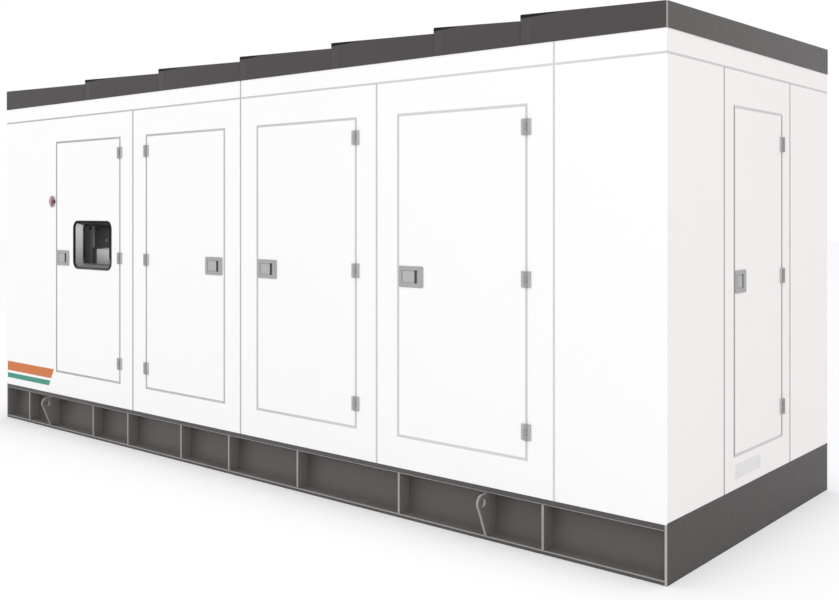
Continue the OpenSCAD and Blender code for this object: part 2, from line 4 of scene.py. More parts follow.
import bmesh
import bpy
import numpy as np
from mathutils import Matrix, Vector

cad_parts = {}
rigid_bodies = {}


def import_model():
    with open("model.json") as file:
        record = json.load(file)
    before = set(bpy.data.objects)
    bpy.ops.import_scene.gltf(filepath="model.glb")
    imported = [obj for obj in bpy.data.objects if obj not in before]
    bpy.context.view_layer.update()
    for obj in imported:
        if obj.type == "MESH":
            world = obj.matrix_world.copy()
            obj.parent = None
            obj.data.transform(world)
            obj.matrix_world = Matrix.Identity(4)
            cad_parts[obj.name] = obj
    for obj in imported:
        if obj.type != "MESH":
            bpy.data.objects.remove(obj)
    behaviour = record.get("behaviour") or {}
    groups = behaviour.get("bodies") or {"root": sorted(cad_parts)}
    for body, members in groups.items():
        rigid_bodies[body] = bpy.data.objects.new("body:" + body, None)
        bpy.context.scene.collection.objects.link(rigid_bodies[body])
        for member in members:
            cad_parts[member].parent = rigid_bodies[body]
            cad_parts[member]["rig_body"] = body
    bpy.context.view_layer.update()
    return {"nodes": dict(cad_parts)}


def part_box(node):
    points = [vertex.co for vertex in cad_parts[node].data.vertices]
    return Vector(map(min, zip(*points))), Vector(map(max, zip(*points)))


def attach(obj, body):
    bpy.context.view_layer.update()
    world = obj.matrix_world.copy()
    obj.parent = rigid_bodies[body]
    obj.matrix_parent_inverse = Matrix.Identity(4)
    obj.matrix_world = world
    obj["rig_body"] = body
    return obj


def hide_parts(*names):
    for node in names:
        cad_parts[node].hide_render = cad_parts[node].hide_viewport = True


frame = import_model()
print("frame loaded")

# sizes that the frame already holds
wallLow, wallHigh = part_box("front_wall_panels")
shell = {
    "halfLength": wallHigh.x,
    "halfWidth": -wallLow.y,
    "wall": wallHigh.y - wallLow.y,
    "skid": wallLow.z,
    "header": wallHigh.z,
    "roof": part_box("front_header")[1].z,
    "gap": 0.010,        # round a door leaf
    "seam": 0.003,       # between wall panels
    "seamDepth": 0.004,  # where a seam is only a groove
    "stopDepth": 0.050,  # door stops start this deep in the wall
    "stopWidth": 0.030,
    "endMargin": 0.133,  # end doorway to its seams
    "soft": 0.0015,      # radius of folded sheet edges
    "inside": 0.0005,    # how far a laid-on piece reaches into what it lies on
}
inside = shell["inside"]


meshing = {
    "weld": 2e-5,        # points closer than this are one
    "nodeWeld": 1e-5,    # the same for copies of CAD nodes
    "flatAngle": 0.5,    # their triangles within this are one face
    "sharpAngle": 35,
    "bevelAngle": 40,
    "nodeBevelAngle": 30,
    "faceWeight": 80,
}


def gridPart(points, wrapRows=False, wrapCols=False, caps=False, paint=0):
    # one square for each four neighbours of a rows x cols grid of points;
    # caps closes the first and the last row with a face each
    rows, cols = points.shape[:2]
    a, b = np.meshgrid(np.arange(rows if wrapRows else rows - 1),
                       np.arange(cols if wrapCols else cols - 1), indexing="ij")
    a2, b2 = (a + 1) % rows, (b + 1) % cols
    quads = np.stack([a * cols + b, a * cols + b2, a2 * cols + b2, a2 * cols + b], -1)
    faces = [quads.reshape(-1, 4)]
    paints = [np.broadcast_to(paint, a.shape).reshape(-1)]
    if caps:
        ends = np.stack([np.arange(cols)[::-1], (rows - 1) * cols + np.arange(cols)])
        faces.append(ends)
        paints.append(np.full(2, np.asarray(paint).flat[0]))
    return {"points": points.reshape(-1, 3), "faces": faces, "paints": paints}


def barPart(rows, paint=0):
    # rows of a closed outline, with a face at both ends
    return gridPart(rows, wrapCols=True, caps=True, paint=paint)


def copiesOf(part, places):
    # the same part again at each place: point + offset
    places = np.asarray(places, float).reshape(-1, 3)
    n = len(part["points"])
    shift = np.arange(len(places))[:, None, None] * n
    return {
        "points": (part["points"][None] + places[:, None]).reshape(-1, 3),
        "faces": [(f[None] + shift).reshape(-1, f.shape[1]) for f in part["faces"]],
        "paints": [np.tile(p, len(places)) for p in part["paints"]],
    }


def linked(name, data):
    obj = bpy.data.objects.new(name, data)
    bpy.context.scene.collection.objects.link(obj)
    return obj


def coat(mesh, materials):
    for material in materials if isinstance(materials, list) else [materials]:
        mesh.materials.append(material)


def bevelled(obj, width, segments, angle):
    bevel = obj.modifiers.new("edges", "BEVEL")
    bevel.width = width
    bevel.segments = segments
    bevel.limit_method = "ANGLE"
    bevel.angle_limit = math.radians(angle)
    return bevel


def finished(obj, body, sharp=meshing["sharpAngle"]):
    # large faces keep their own normal and the small ones beside them take it over
    obj.data.shade_smooth()
    obj.data.set_sharp_from_angle(angle=math.radians(sharp))
    weighted = obj.modifiers.new("normals", "WEIGHTED_NORMAL")
    weighted.weight = meshing["faceWeight"]
    weighted.keep_sharp = True
    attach(obj, body)
    return obj


def makePiece(name, body, parts, materials, sharp=meshing["sharpAngle"], bevel=None):
    # one mesh from one or more parts; a part's paints pick from the materials
    verts, faces, picks, start = [], [], [], 0
    for part in parts if isinstance(parts, list) else [parts]:
        verts.append(part["points"])
        for f, p in zip(part["faces"], part["paints"]):
            faces += (f + start).tolist()
            picks.append(p)
        start += len(part["points"])
    mesh = bpy.data.meshes.new(name)
    mesh.from_pydata(np.concatenate(verts).tolist(), [], faces)
    mesh.polygons.foreach_set("material_index", np.concatenate(picks).astype(np.int32))
    coat(mesh, materials)
    bm = bmesh.new()
    bm.from_mesh(mesh)
    bmesh.ops.remove_doubles(bm, verts=bm.verts, dist=meshing["weld"])
    bmesh.ops.recalc_face_normals(bm, faces=bm.faces)
    bm.to_mesh(mesh)
    bm.free()
    obj = linked(name, mesh)
    if bevel:
        bevelled(obj, bevel, 2, meshing["bevelAngle"])
    return finished(obj, body, sharp)


def softened(node, materials, width, steps=2, edge=-1, choose=None):
    # a copy of a CAD node, its triangles joined into whole faces and its edges rounded;
    # choose(centres, normals) gives each flat face its material, edge is the rounding's
    bm = bmesh.new()
    bm.from_mesh(frame["nodes"][node].data)
    bmesh.ops.remove_doubles(bm, verts=bm.verts, dist=meshing["nodeWeld"])
    bmesh.ops.dissolve_limit(bm, angle_limit=math.radians(meshing["flatAngle"]), verts=bm.verts,
                             edges=bm.edges)
    mesh = bpy.data.meshes.new(node + "_finished")
    bm.to_mesh(mesh)
    bm.free()
    count = len(mesh.polygons)
    centres, normals = np.zeros(count * 3), np.zeros(count * 3)
    mesh.polygons.foreach_get("center", centres)
    mesh.polygons.foreach_get("normal", normals)
    index = np.zeros(count, np.int32)
    if choose:
        index = choose(centres.reshape(-1, 3), normals.reshape(-1, 3)).astype(np.int32)
    mesh.materials.clear()
    coat(mesh, materials)
    mesh.polygons.foreach_set("material_index", index)
    obj = linked(node + "_finished", mesh)
    if width:
        bevel = bevelled(obj, width, steps, meshing["nodeBevelAngle"])
        bevel.material = edge
        bevel.use_clamp_overlap = True
        bpy.context.view_layer.update()
        done = obj.evaluated_get(bpy.context.evaluated_depsgraph_get())
        done = bpy.data.meshes.new_from_object(done)
        obj.modifiers.clear()
        obj.data = done
    finished(obj, frame["nodes"][node].get("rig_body"))
    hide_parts(node)
    return obj


def onWall(wall, x, depth, z):
    # a point of a wall, x to the right as seen from outside and depth into the wall
    hl, hw = shell["halfLength"], shell["halfWidth"]
    x, depth, z = np.broadcast_arrays(x, depth, z)
    if wall == "front":
        return np.stack([x, depth - hw, z], -1)
    if wall == "right":
        return np.stack([hl - depth, x, z], -1)
    if wall == "back":
        return np.stack([-x, hw - depth, z], -1)
    return np.stack([depth - hl, -x, z], -1)


def rectangles(wall, x0, x1, z0, z1, depth):
    # one row for each rectangle x0..x1 by z0..z1 at its depth, four corners a row
    x0, x1, z0, z1, depth = np.broadcast_arrays(x0, x1, z0, z1, depth)
    xs = np.stack([x0, x1, x1, x0], -1)
    zs = np.stack([z0, z0, z1, z1], -1)
    return onWall(wall, xs, depth[:, None], zs)


def shrunk(rect, by):
    # a rectangle x0, x1, z0, z1 taken in by the same on each side, or let out if by is negative
    x0, x1, z0, z1 = rect
    return x0 + by, x1 - by, z0 + by, z1 - by


def faceBox(node, wall):
    # a node's box as seen on its wall: x0, x1, z0, z1
    low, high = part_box(node)
    return (low.x, high.x, low.z, high.z) if wall == "front" else (low.y, high.y, low.z, high.z)


def framePart(wall, outer, hole, first, second):
    # a flat frame: a rectangle with a rectangular hole, from the first depth to the second
    edges = [np.array([o, o, h, h]) for o, h in zip(outer, hole)]
    depth = np.array([first, second, second, first])
    return gridPart(rectangles(wall, *edges, depth), wrapRows=True, wrapCols=True)


def edgeArc(radius, steps=3):
    # quarter circle from the side of an edge to its face: inset r(1 - cos t), depth r(1 - sin t)
    t = np.linspace(0, math.pi / 2, steps + 1)
    return radius * (1 - np.cos(t)), radius * (1 - np.sin(t))


def mitre(depth, radius):
    # plan of a corner between two walls: inset = depth, rounded off near the face
    big = radius / (1 - math.sqrt(0.5))
    arc = big * (1 - np.sqrt(np.clip(1 - (1 - np.minimum(depth, radius) / big) ** 2, 0, 1)))
    return np.where(depth > radius, depth, arc)


def roundedOutline(width, height, radius, steps=8):
    # rectangle about the origin with quarter circles of the radius for corners
    t = np.linspace(0, math.pi / 2, steps + 1)
    quarter = np.arange(4)[:, None] * math.pi / 2 + t[None]
    sx = np.array([1, -1, -1, 1])[:, None]
    sz = np.array([1, 1, -1, -1])[:, None]
    x = sx * (width / 2 - radius) + radius * np.cos(quarter)
    z = sz * (height / 2 - radius) + radius * np.sin(quarter)
    return x.reshape(-1), z.reshape(-1)


def roundedStack(wall, cx, cz, width, height, radius, grow, depth, **kw):
    # one row for each depth: the rounded rectangle grown (or cut back) by grow
    grow, depth = np.broadcast_arrays(np.asarray(grow, float), np.asarray(depth, float))
    xs, zs = [], []
    for g in grow:
        x, z = roundedOutline(width + 2 * g, height + 2 * g, max(radius + g, 1e-4))
        xs.append(x)
        zs.append(z)
    return gridPart(onWall(wall, cx + np.array(xs), depth[:, None], cz + np.array(zs)), wrapCols=True,
                    **kw)


def turned(wall, cx, cz, radii, depths, sides=24, **kw):
    # a turned form: the circle of each radius at its depth, about an axis into the wall
    a = np.linspace(0, 2 * math.pi, sides, endpoint=False)
    r, d = np.asarray(radii, float)[:, None], np.asarray(depths, float)[:, None]
    points = onWall(wall, cx + r * np.cos(a), d + 0 * a, cz + r * np.sin(a))
    return gridPart(points, wrapCols=True, caps=True, **kw)


# finishes: colour, roughness, how mottled the paint is and how rough its skin;
# fade is an axis, where a change starts and ends along it, and the colour at its end
# rubber's mottling only shows where it doesn't fade
rubber = dict(rough=0.75, mottled=0.05, skin=0.10, gloss=0.2)
blackRubber = dict(rough=0.65, mottled=0.10, skin=0.12, gloss=0.15)
finishes = {
    # painted light: the white darkens towards the right end, where the key lamp falls stronger, to even out
    # the walls' light
    "wallWhite": dict(colour=(0.985, 0.982, 0.982), rough=0.42, skin=0.04,
                      fade=(0, -3.3, 0.6, (0.944, 0.939, 0.939))),
    # painted shade: a darker, warmer copy of the wall white for the end walls
    "endWhiteShaded": dict(colour=(0.954, 0.908, 0.908), rough=0.42, mottled=0.004, skin=0.04),
    "roofDark": dict(colour=(0.060, 0.052, 0.053), rough=0.55, mottled=0.05, skin=0.06, gloss=0.35),
    # painted shade: a darker copy of the roof paint for the laps
    "roofLap": dict(colour=(0.052, 0.045, 0.046), rough=0.50, mottled=0.10, skin=0.10),
    # painted shade on the roof's end face, and a painted highlight on the rounded corner at its front
    "roofEndShaded": dict(colour=(0.053, 0.046, 0.043), rough=0.42, mottled=0.05, skin=0.06),
    "roofCornerHighlight": dict(colour=(0.30, 0.29, 0.27), rough=0.38, mottled=0.05, skin=0.05),
    # painted shade: the paint darkens towards the top, for the shadow under the skid's top flanges
    "skidDark": dict(colour=(0.115, 0.102, 0.099), rough=0.46, skin=0.16,
                     fade=(2, 0.02, 0.24, (0.074, 0.065, 0.063))),
    "skidEnd": dict(colour=(0.040, 0.034, 0.032), rough=0.50, mottled=0.06, skin=0.08),
    "skidFlange": dict(colour=(0.066, 0.061, 0.060), rough=0.44, mottled=0.14, skin=0.12),
    # painted light: the skid's inner faces are painted lighter against the shade in its recesses, and its
    # rounded edges and corners lighter as painted highlights
    "skidInnerLit": dict(colour=(0.175, 0.158, 0.153), rough=0.50, mottled=0.10, skin=0.12),
    "skidEdgeHighlight": dict(colour=(0.33, 0.32, 0.313), rough=0.40, mottled=0.10, skin=0.08),
    "skidCornerHighlight": dict(colour=(0.42, 0.408, 0.403), rough=0.38, mottled=0.08, skin=0.06),
    "fittingGrey": dict(colour=(0.375, 0.370, 0.370), rough=0.40, mottled=0.03, skin=0.04),
    "paddleGrey": dict(colour=(0.430, 0.425, 0.425), rough=0.38, mottled=0.03, skin=0.04),
    # painted shade: the darker grey for the latch trays' deep faces
    "fittingTrayShade": dict(colour=(0.34, 0.335, 0.335), rough=0.55, mottled=0.05, skin=0.04),
    "hingeGrey": dict(colour=(0.450, 0.443, 0.442), rough=0.42, mottled=0.04, skin=0.04),
    "knuckleGrey": dict(colour=(0.320, 0.314, 0.314), rough=0.42, mottled=0.04, skin=0.04),
    # painted light: the cabinet grey grows a little lighter towards the top
    "cabinetGrey": dict(colour=(0.92, 0.915, 0.91), rough=0.50, skin=0.12,
                        fade=(2, 1.44, 1.86, (0.95, 0.95, 0.952))),
    # painted shade: the dark sheet on the cabinet's front
    "cabinetShadeGrey": dict(colour=(0.165, 0.163, 0.163), rough=0.50, mottled=0.05, skin=0.12),
    # painted light: the relay box and its lid are lighter towards the top
    "relayGrey": dict(colour=(0.45, 0.45, 0.45), rough=0.45, skin=0.05,
                      fade=(2, 1.46, 1.57, (0.74, 0.74, 0.74))),
    # painted light and shade: the window reveal is pale at the top and dark at the bottom
    "revealGrey": dict(colour=(0.29, 0.285, 0.285), rough=0.45, skin=0.04,
                       fade=(2, 1.44, 1.765, (0.99, 0.98, 0.98))),
    # painted shade: the strips' and beads' greys stand in for the shade in the seams and door gaps; the
    # uprights are darker than the level runs, the end wall has its own, and most grow lighter towards the
    # right end
    "seamUpright": dict(colour=(0.385, 0.378, 0.376), **rubber,
                        fade=(0, -1.35, 2.67, (0.660, 0.648, 0.646))),
    "seamLevel": dict(colour=(0.500, 0.490, 0.488), **rubber, fade=(0, -2.5, 2.5, (0.660, 0.648, 0.646))),
    "seamEnd": dict(colour=(0.400, 0.393, 0.390), **rubber),
    "sealUpright": dict(colour=(0.345, 0.338, 0.336), **rubber,
                        fade=(0, -2.5, 1.85, (0.650, 0.638, 0.636))),
    "sealLevel": dict(colour=(0.460, 0.451, 0.448), **rubber, fade=(0, -2.5, 2.0, (0.690, 0.678, 0.676))),
    "sealEndUpright": dict(colour=(0.325, 0.319, 0.317), **rubber),
    "sealEndLevel": dict(colour=(0.700, 0.690, 0.688), **rubber),
    # painted light: the window seal and its inner frame are paler along the bottom
    "sealRing": dict(colour=(0.110, 0.110, 0.110), **blackRubber,
                     fade=(2, 1.435, 1.455, (0.010, 0.010, 0.010))),
    "sealFrame": dict(colour=(0.150, 0.148, 0.148), **blackRubber,
                      fade=(2, 1.475, 1.51, (0.010, 0.010, 0.010))),
    # painted shade: near-black for the top of the window reveal
    "revealTopShade": dict(colour=(0.034, 0.034, 0.034), rough=0.60, mottled=0.05, skin=0.05, gloss=0.2),
    # painted shade: dark paint for the relay box's left side
    "relaySideShade": dict(colour=(0.16, 0.16, 0.16), rough=0.50, mottled=0.05, skin=0.05),
    # black rubber, also near-black painted shade on the roof wedges and the strip inside the window's right
    # edge
    "sealBlackAndShade": dict(colour=(0.010, 0.010, 0.010), **blackRubber),
    "boltZinc": dict(colour=(0.42, 0.41, 0.40), rough=0.35, mottled=0.06, skin=0.03, metal=1.0),
    "panelBlack": dict(colour=(0.078, 0.076, 0.080), rough=0.16, mottled=0.0, skin=0.01),
    "displayGreen": dict(colour=(0.040, 0.046, 0.045), rough=0.10, mottled=0.0, skin=0.0),
    "plateWhite": dict(colour=(0.78, 0.785, 0.78), rough=0.35, mottled=0.01, skin=0.02),
    "lampWhite": dict(colour=(0.40, 0.40, 0.40), rough=0.20, mottled=0.0, skin=0.0),
    # painted highlight and shade: the button is pale pink on its left and dark red on its right
    "stopRed": dict(colour=(0.70, 0.57, 0.60), rough=0.30, skin=0.02,
                    fade=(0, -2.585, -2.535, (0.27, 0.08, 0.115))),
    "stopGrey": dict(colour=(0.350, 0.315, 0.325), rough=0.42, mottled=0.04, skin=0.04),
    # painted shade: the dark red patch beside the stop button
    "stopShadeRed": dict(colour=(0.075, 0.006, 0.016), rough=0.42, mottled=0.04, skin=0.04),
    "accentOrange": dict(colour=(0.62, 0.16, 0.02), rough=0.38, mottled=0.04, skin=0.03),
    "accentGreen": dict(colour=(0.02, 0.27, 0.19), rough=0.38, mottled=0.04, skin=0.03),
}


def node(tree, kind, **values):
    made = tree.nodes.new(kind)
    for key, value in values.items():
        made.inputs[key].default_value = value
    return made


def worked(tree, kind, how, *values):
    # a maths node; each value is a number, a vector or another node's output
    made = tree.nodes.new(kind)
    made.operation = how
    for socket, value in zip(made.inputs, values):
        if isinstance(value, bpy.types.NodeSocket):
            tree.links.new(value, socket)
        else:
            socket.default_value = value
    return made.outputs["Value" if kind == "ShaderNodeMath" or how == "LENGTH" else "Vector"]


def noiseOf(tree, coords, scale, detail=3.0):
    noise = node(tree, "ShaderNodeTexNoise", Scale=scale, Detail=detail)
    tree.links.new(coords, noise.inputs["Vector"])
    return noise.outputs["Fac"]


def ranged(tree, value, low, high, fromLow=0.3, fromHigh=0.7):
    change = node(tree, "ShaderNodeMapRange")
    change.inputs["From Min"].default_value = fromLow
    change.inputs["From Max"].default_value = fromHigh
    change.inputs["To Min"].default_value = low
    change.inputs["To Max"].default_value = high
    tree.links.new(value, change.inputs["Value"])
    return change.outputs["Result"]


def mixed(tree, factor, first, second):
    mix = tree.nodes.new("ShaderNodeMix")
    mix.data_type = "RGBA"
    tree.links.new(factor, mix.inputs[0])
    for socket, colour in ((mix.inputs[6], first), (mix.inputs[7], second)):
        if isinstance(colour, tuple):
            socket.default_value = colour + (1,)
        else:
            tree.links.new(colour, socket)
    return mix.outputs[2]


def bumped(tree, height, strength, distance, after=None):
    bump = node(tree, "ShaderNodeBump", Strength=strength, Distance=distance)
    tree.links.new(height, bump.inputs["Height"])
    if after:
        tree.links.new(after, bump.inputs["Normal"])
    return bump.outputs["Normal"]


def blankMaterial(name):
    mat = bpy.data.materials.new(name)
    mat.use_nodes = True
    tree = mat.node_tree
    coords = tree.nodes.new("ShaderNodeTexCoord").outputs["Object"]
    return mat, tree, tree.nodes["Principled BSDF"], coords


def faded(tree, coords, colour, fade):
    # a straight change from one colour to another between two places along an axis
    axis, start, end, other = fade
    parts = tree.nodes.new("ShaderNodeSeparateXYZ")
    tree.links.new(coords, parts.inputs[0])
    return mixed(tree, ranged(tree, parts.outputs[axis], 0, 1, start, end), colour, other)


def paintedFinish(name, colour, rough, skin, mottled=0.0, metal=0.0, gloss=0.5, fade=None):
    # a slow noise changes the tone over a panel, a quicker one its gloss, and a fine one is the skin of
    # the paint; a finish that fades along an axis has no slow noise
    mat, tree, shader, coords = blankMaterial(name)
    shader.inputs["Metallic"].default_value = metal
    shader.inputs["Specular IOR Level"].default_value = gloss
    if fade:
        tree.links.new(faded(tree, coords, colour, fade), shader.inputs["Base Color"])
    elif mottled:
        dark = tuple(c * (1 - mottled) for c in colour)
        light = tuple(min(1.0, c * (1 + mottled)) for c in colour)
        slow = ranged(tree, noiseOf(tree, coords, 1.7, 6.0), 0, 1)
        tree.links.new(mixed(tree, slow, dark, light), shader.inputs["Base Color"])
    else:
        shader.inputs["Base Color"].default_value = colour + (1,)
    gloss = ranged(tree, noiseOf(tree, coords, 23.0), rough - 0.025, rough + 0.025)
    tree.links.new(gloss, shader.inputs["Roughness"])
    if skin:
        tree.links.new(bumped(tree, noiseOf(tree, coords, 420.0, 2.0), skin, 0.0004), shader.inputs["Normal"])
    return mat


paints = {name: paintedFinish(name, **values) for name, values in finishes.items()}
# the end walls take the darker, warmer white as painted shade
wallPaint = {"front": paints["wallWhite"], "back": paints["wallWhite"],
             "right": paints["endWhiteShaded"], "left": paints["endWhiteShaded"]}
print("finishes ready")


def wallPiece(name, wall, x0, x1, doorway=None, corners=(False, False)):
    # outline rows from the inside face round the seam edge to the outside face, and
    # with a doorway on round its edge, over the stop and back to the inside face
    cut, deep = edgeArc(shell["soft"])
    depth = np.append(shell["wall"], deep)
    inset = np.append(0.0, cut)
    left = -half[wall] + mitre(depth, shell["soft"]) if corners[0] else x0 + inset
    right = half[wall] - mitre(depth, shell["soft"]) if corners[1] else x1 - inset
    rows = [rectangles(wall, left, right, shell["skid"] + inset, shell["header"] - inset, depth)]
    if doorway:
        d0, d1, e0, e1 = doorway
        lip = shell["stopWidth"]
        out = np.concatenate([cut[::-1], [0.0, -lip, -lip]])
        back = np.concatenate([deep[::-1], [shell["stopDepth"], shell["stopDepth"], shell["wall"]]])
        rows.append(rectangles(wall, d0 - out, d1 + out, e0 - out, e1 + out, back))
    part = gridPart(np.concatenate(rows), wrapRows=bool(doorway), wrapCols=True, caps=not doorway)
    return makePiece(name, "enclosure", part, wallPaint[wall], sharp=50)


# the front wall has a bay for each door, the first with the plain end beside it;
# a doorway is the leaf's rectangle let out by the gap round it
leaves = {"door_1": "front", "door_2": "front", "door_3": "front", "door_4": "front", "end_door": "right"}
doorways = {name: shrunk(faceBox(name, wall), -shell["gap"]) for name, wall in leaves.items()}
middles = [(x0 + x1) / 2 for x0, x1 in [doorways[f"door_{i}"][:2] for i in (1, 2, 3, 4)]]
bay = middles[1] - middles[0]
half = {"front": shell["halfLength"], "right": shell["halfWidth"]}
seams = [middle + bay / 2 for middle in middles]
endSeams = [doorways["end_door"][0] - shell["endMargin"], doorways["end_door"][1] + shell["endMargin"]]
halfSeam = shell["seam"] / 2
bayEdges = [-half["front"]] + seams
for i in range(4):
    made = wallPiece(f"front_bay_{i + 1}", "front", bayEdges[i] + (halfSeam if i else 0),
                     bayEdges[i + 1] - halfSeam, doorways[f"door_{i + 1}"], (i == 0, False))
    if i == 0:
        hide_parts("front_wall_panels", "front_wall_rails")
wallPiece("front_plain_end", "front", seams[3] + halfSeam, half["front"], None, (False, True))
made = wallPiece("right_bay", "right", endSeams[0] + halfSeam, endSeams[1] - halfSeam, doorways["end_door"])
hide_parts("right_wall_panels", "right_wall_rails")
wallPiece("right_near_panel", "right", -half["right"], endSeams[0] - halfSeam, None, (True, False))
wallPiece("right_far_panel", "right", endSeams[1] + halfSeam, half["right"], None, (False, True))
print("walls done")


def headerPiece(name, wall, x0, x1, corners=(False, False)):
    # the band under the roof: rows as for a wall, the lower edge set back to leave a line
    inset, deep = edgeArc(shell["soft"])
    depth = np.concatenate([[shell["wall"], shell["seamDepth"], shell["seamDepth"]], deep])
    inset = np.concatenate([[0.0, 0.0, 0.0], inset])
    step = np.where(np.arange(len(depth)) < 2, 0.0, shell["seam"])
    left = -half[wall] + mitre(depth, shell["soft"]) if corners[0] else x0 + inset
    right = half[wall] - mitre(depth, shell["soft"]) if corners[1] else x1 - inset
    part = barPart(rectangles(wall, left, right, shell["header"] + step + inset, shell["roof"], depth))
    return makePiece(name, "enclosure", part, wallPaint[wall], sharp=50)


headerEdges = [-half["front"], seams[1], seams[3], half["front"]]
for i in range(3):
    made = headerPiece(f"front_header_{i + 1}", "front", headerEdges[i] + (halfSeam if i else 0),
                       headerEdges[i + 1] - (halfSeam if i < 2 else 0), (i == 0, i == 2))
    if i == 0:
        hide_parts("front_header")
made = headerPiece("right_header_band", "right", -half["right"], half["right"], (True, True))
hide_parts("right_header")
for wall in ("back", "left"):
    softened(f"{wall}_wall_panels", wallPaint[wall], shell["soft"])

# sealing strips pressed over the seams, with a low round back; their grey is painted shade, standing in for
# the shade in the seams
seamStrip = {
    "width": 0.0155,
    "levelWidth": 0.0140,
    "proud": 0.0009,
    "behind": 0.0005,
    "cornerGap": 0.002,  # level strips stop short of the corners
    "endGap": 0.001,     # upright ones stop short of the skid and the roof
}


def strip(wall, x0, x1, z0, z1, depth0, depth1):
    # a plain bar between two depths
    return barPart(rectangles(wall, x0, x1, z0, z1, np.array([depth1, depth0])))


def seamStripPart(wall, x0, x1, z0, z1):
    # upright or level strip: across its width the height is proud * (1 - u^2), u from -1 to 1
    u = np.linspace(-1, 1, 7)
    out = np.append(-seamStrip["proud"] * (1 - u ** 2), seamStrip["behind"])
    side = np.append(u, 0.0) * seamStrip["width" if x0 == x1 else "levelWidth"] / 2
    ends = np.arange(2)[:, None]
    xs, zs = (x0 + side, z0 + (z1 - z0) * ends) if x0 == x1 else (x0 + (x1 - x0) * ends, z0 + side)
    return barPart(onWall(wall, xs, out, zs))


level, foot = shell["header"] + halfSeam, shell["skid"] + seamStrip["endGap"]
longReach, shortReach = half["front"] - seamStrip["cornerGap"], half["right"] - seamStrip["cornerGap"]
uprights, levels, onEnds = [], [], []
for wall, side in (("front", 1), ("back", -1)):
    levels.append(seamStripPart(wall, -longReach, longReach, level, level))
    for i, x in enumerate(seams):
        top = shell["roof"] - seamStrip["endGap"] if i % 2 else level
        uprights.append(seamStripPart(wall, side * x, side * x, foot, top))
for wall in ("right", "left"):
    levels.append(seamStripPart(wall, -shortReach, shortReach, level, level))
    onEnds += [seamStripPart(wall, x, x, foot, level) for x in endSeams]
makePiece("seam_strips_upright", "enclosure", uprights, paints["seamUpright"])
makePiece("seam_strips_level", "enclosure", levels, paints["seamLevel"])
makePiece("seam_strips_ends", "enclosure", onEnds, paints["seamEnd"])

# roof panels: folded sheet with a fall to the right end and towards the front
roof = {
    "soft": 0.004,        # radius of the folds
    "corner": 0.007,      # radius of the upright corners
    "lapWidth": 0.078,    # strip that laps over the panel before it; its darker paint is painted shade
    "lapProud": 0.0008,
    "lapDrop": 0.005,     # its top stops this far below the roof's edge
    "wedgeLength": 0.30,  # near-black wedge of painted shade along the top edge, as a part of the panel's length
    "wedgeHeight": 0.021,
    "wedgeDrop": 0.003,
    "wedgeTip": 0.0005,   # its height at the thin end
    "wedgeOver": 0.0008,  # it stands this far over the lap
    "edgeGap": 0.001,     # both stop short of the panel's end and foot
}
roofLow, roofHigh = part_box("roof_panels")


def roofCorners():
    # each panel's ends and its top heights, read from the CAD solids' corner points
    mesh = frame["nodes"]["roof_panels"].data
    co = np.zeros(len(mesh.vertices) * 3)
    mesh.vertices.foreach_get("co", co)
    co = co.reshape(-1, 3)
    xs = np.unique(np.round(co[:, 0], 4))
    panels = []
    for x0, x1 in zip(xs[::2], xs[1::2]):
        def top(x, y):
            near = co[(abs(co[:, 0] - x) < 2e-4) & (abs(co[:, 1] - y) < 2e-4)]
            return near[:, 2].max()
        panels.append((x0, x1, top(x0, roofLow.y), top(x1, roofLow.y), top(x1, roofHigh.y)))
    return panels


def roofPanel(name, x0, x1, tallLeft, tallRight, tallBack, last):
    # plan outline with round corners, carried up; its last rows lean in and follow the sloping top,
    # whose height is the right front corner's + the fall along x + the rise along y
    y0, y1, r = roofLow.y, roofHigh.y, roof["corner"]
    ox, oy = roundedOutline(x1 - x0, y1 - y0, r, 4)
    cx, cy = (x0 + x1) / 2, (y0 + y1) / 2
    inset, drop = edgeArc(roof["soft"])
    inset, drop = np.append(0.0, inset), np.append(0.0, drop)
    sx, sy = (x1 - x0) / 2, (y1 - y0) / 2
    px = cx + ox[None] * (1 - inset[:, None] / sx)
    py = cy + oy[None] * (1 - inset[:, None] / sy)
    fall, rise = tallLeft - tallRight, tallBack - tallRight
    pz = tallRight + fall * (x1 - px) / (x1 - x0) + rise * (py - y0) / (y1 - y0) - drop[:, None]
    pz[0] = roofLow.z
    paint = np.zeros((len(inset) - 1, len(ox)), int)
    if last:
        # the end face, in a darker copy of the roof paint as painted shade, and the round corner at its
        # front, painted light as a highlight
        away = (np.roll(px[0], -1) + px[0]) / 2
        mid = (np.roll(py[0], -1) + py[0]) / 2
        paint[:, away > x1 - 1e-4] = 1
        paint[:, (away > x1 - r) & (away <= x1 - 1e-4) & (mid < 0)] = 2
    part = barPart(np.stack([px, py, pz], -1), paint)
    return makePiece(name, "enclosure", part,
                     [paints["roofDark"], paints["roofEndShaded"], paints["roofCornerHighlight"]], sharp=40)


def flatPlate(xs, zs, ys):
    # a thin plate: the four corners x, z, from one y to another
    rows = np.stack([np.stack([xs, np.full(4, y), zs], -1) for y in ys])
    return barPart(rows)


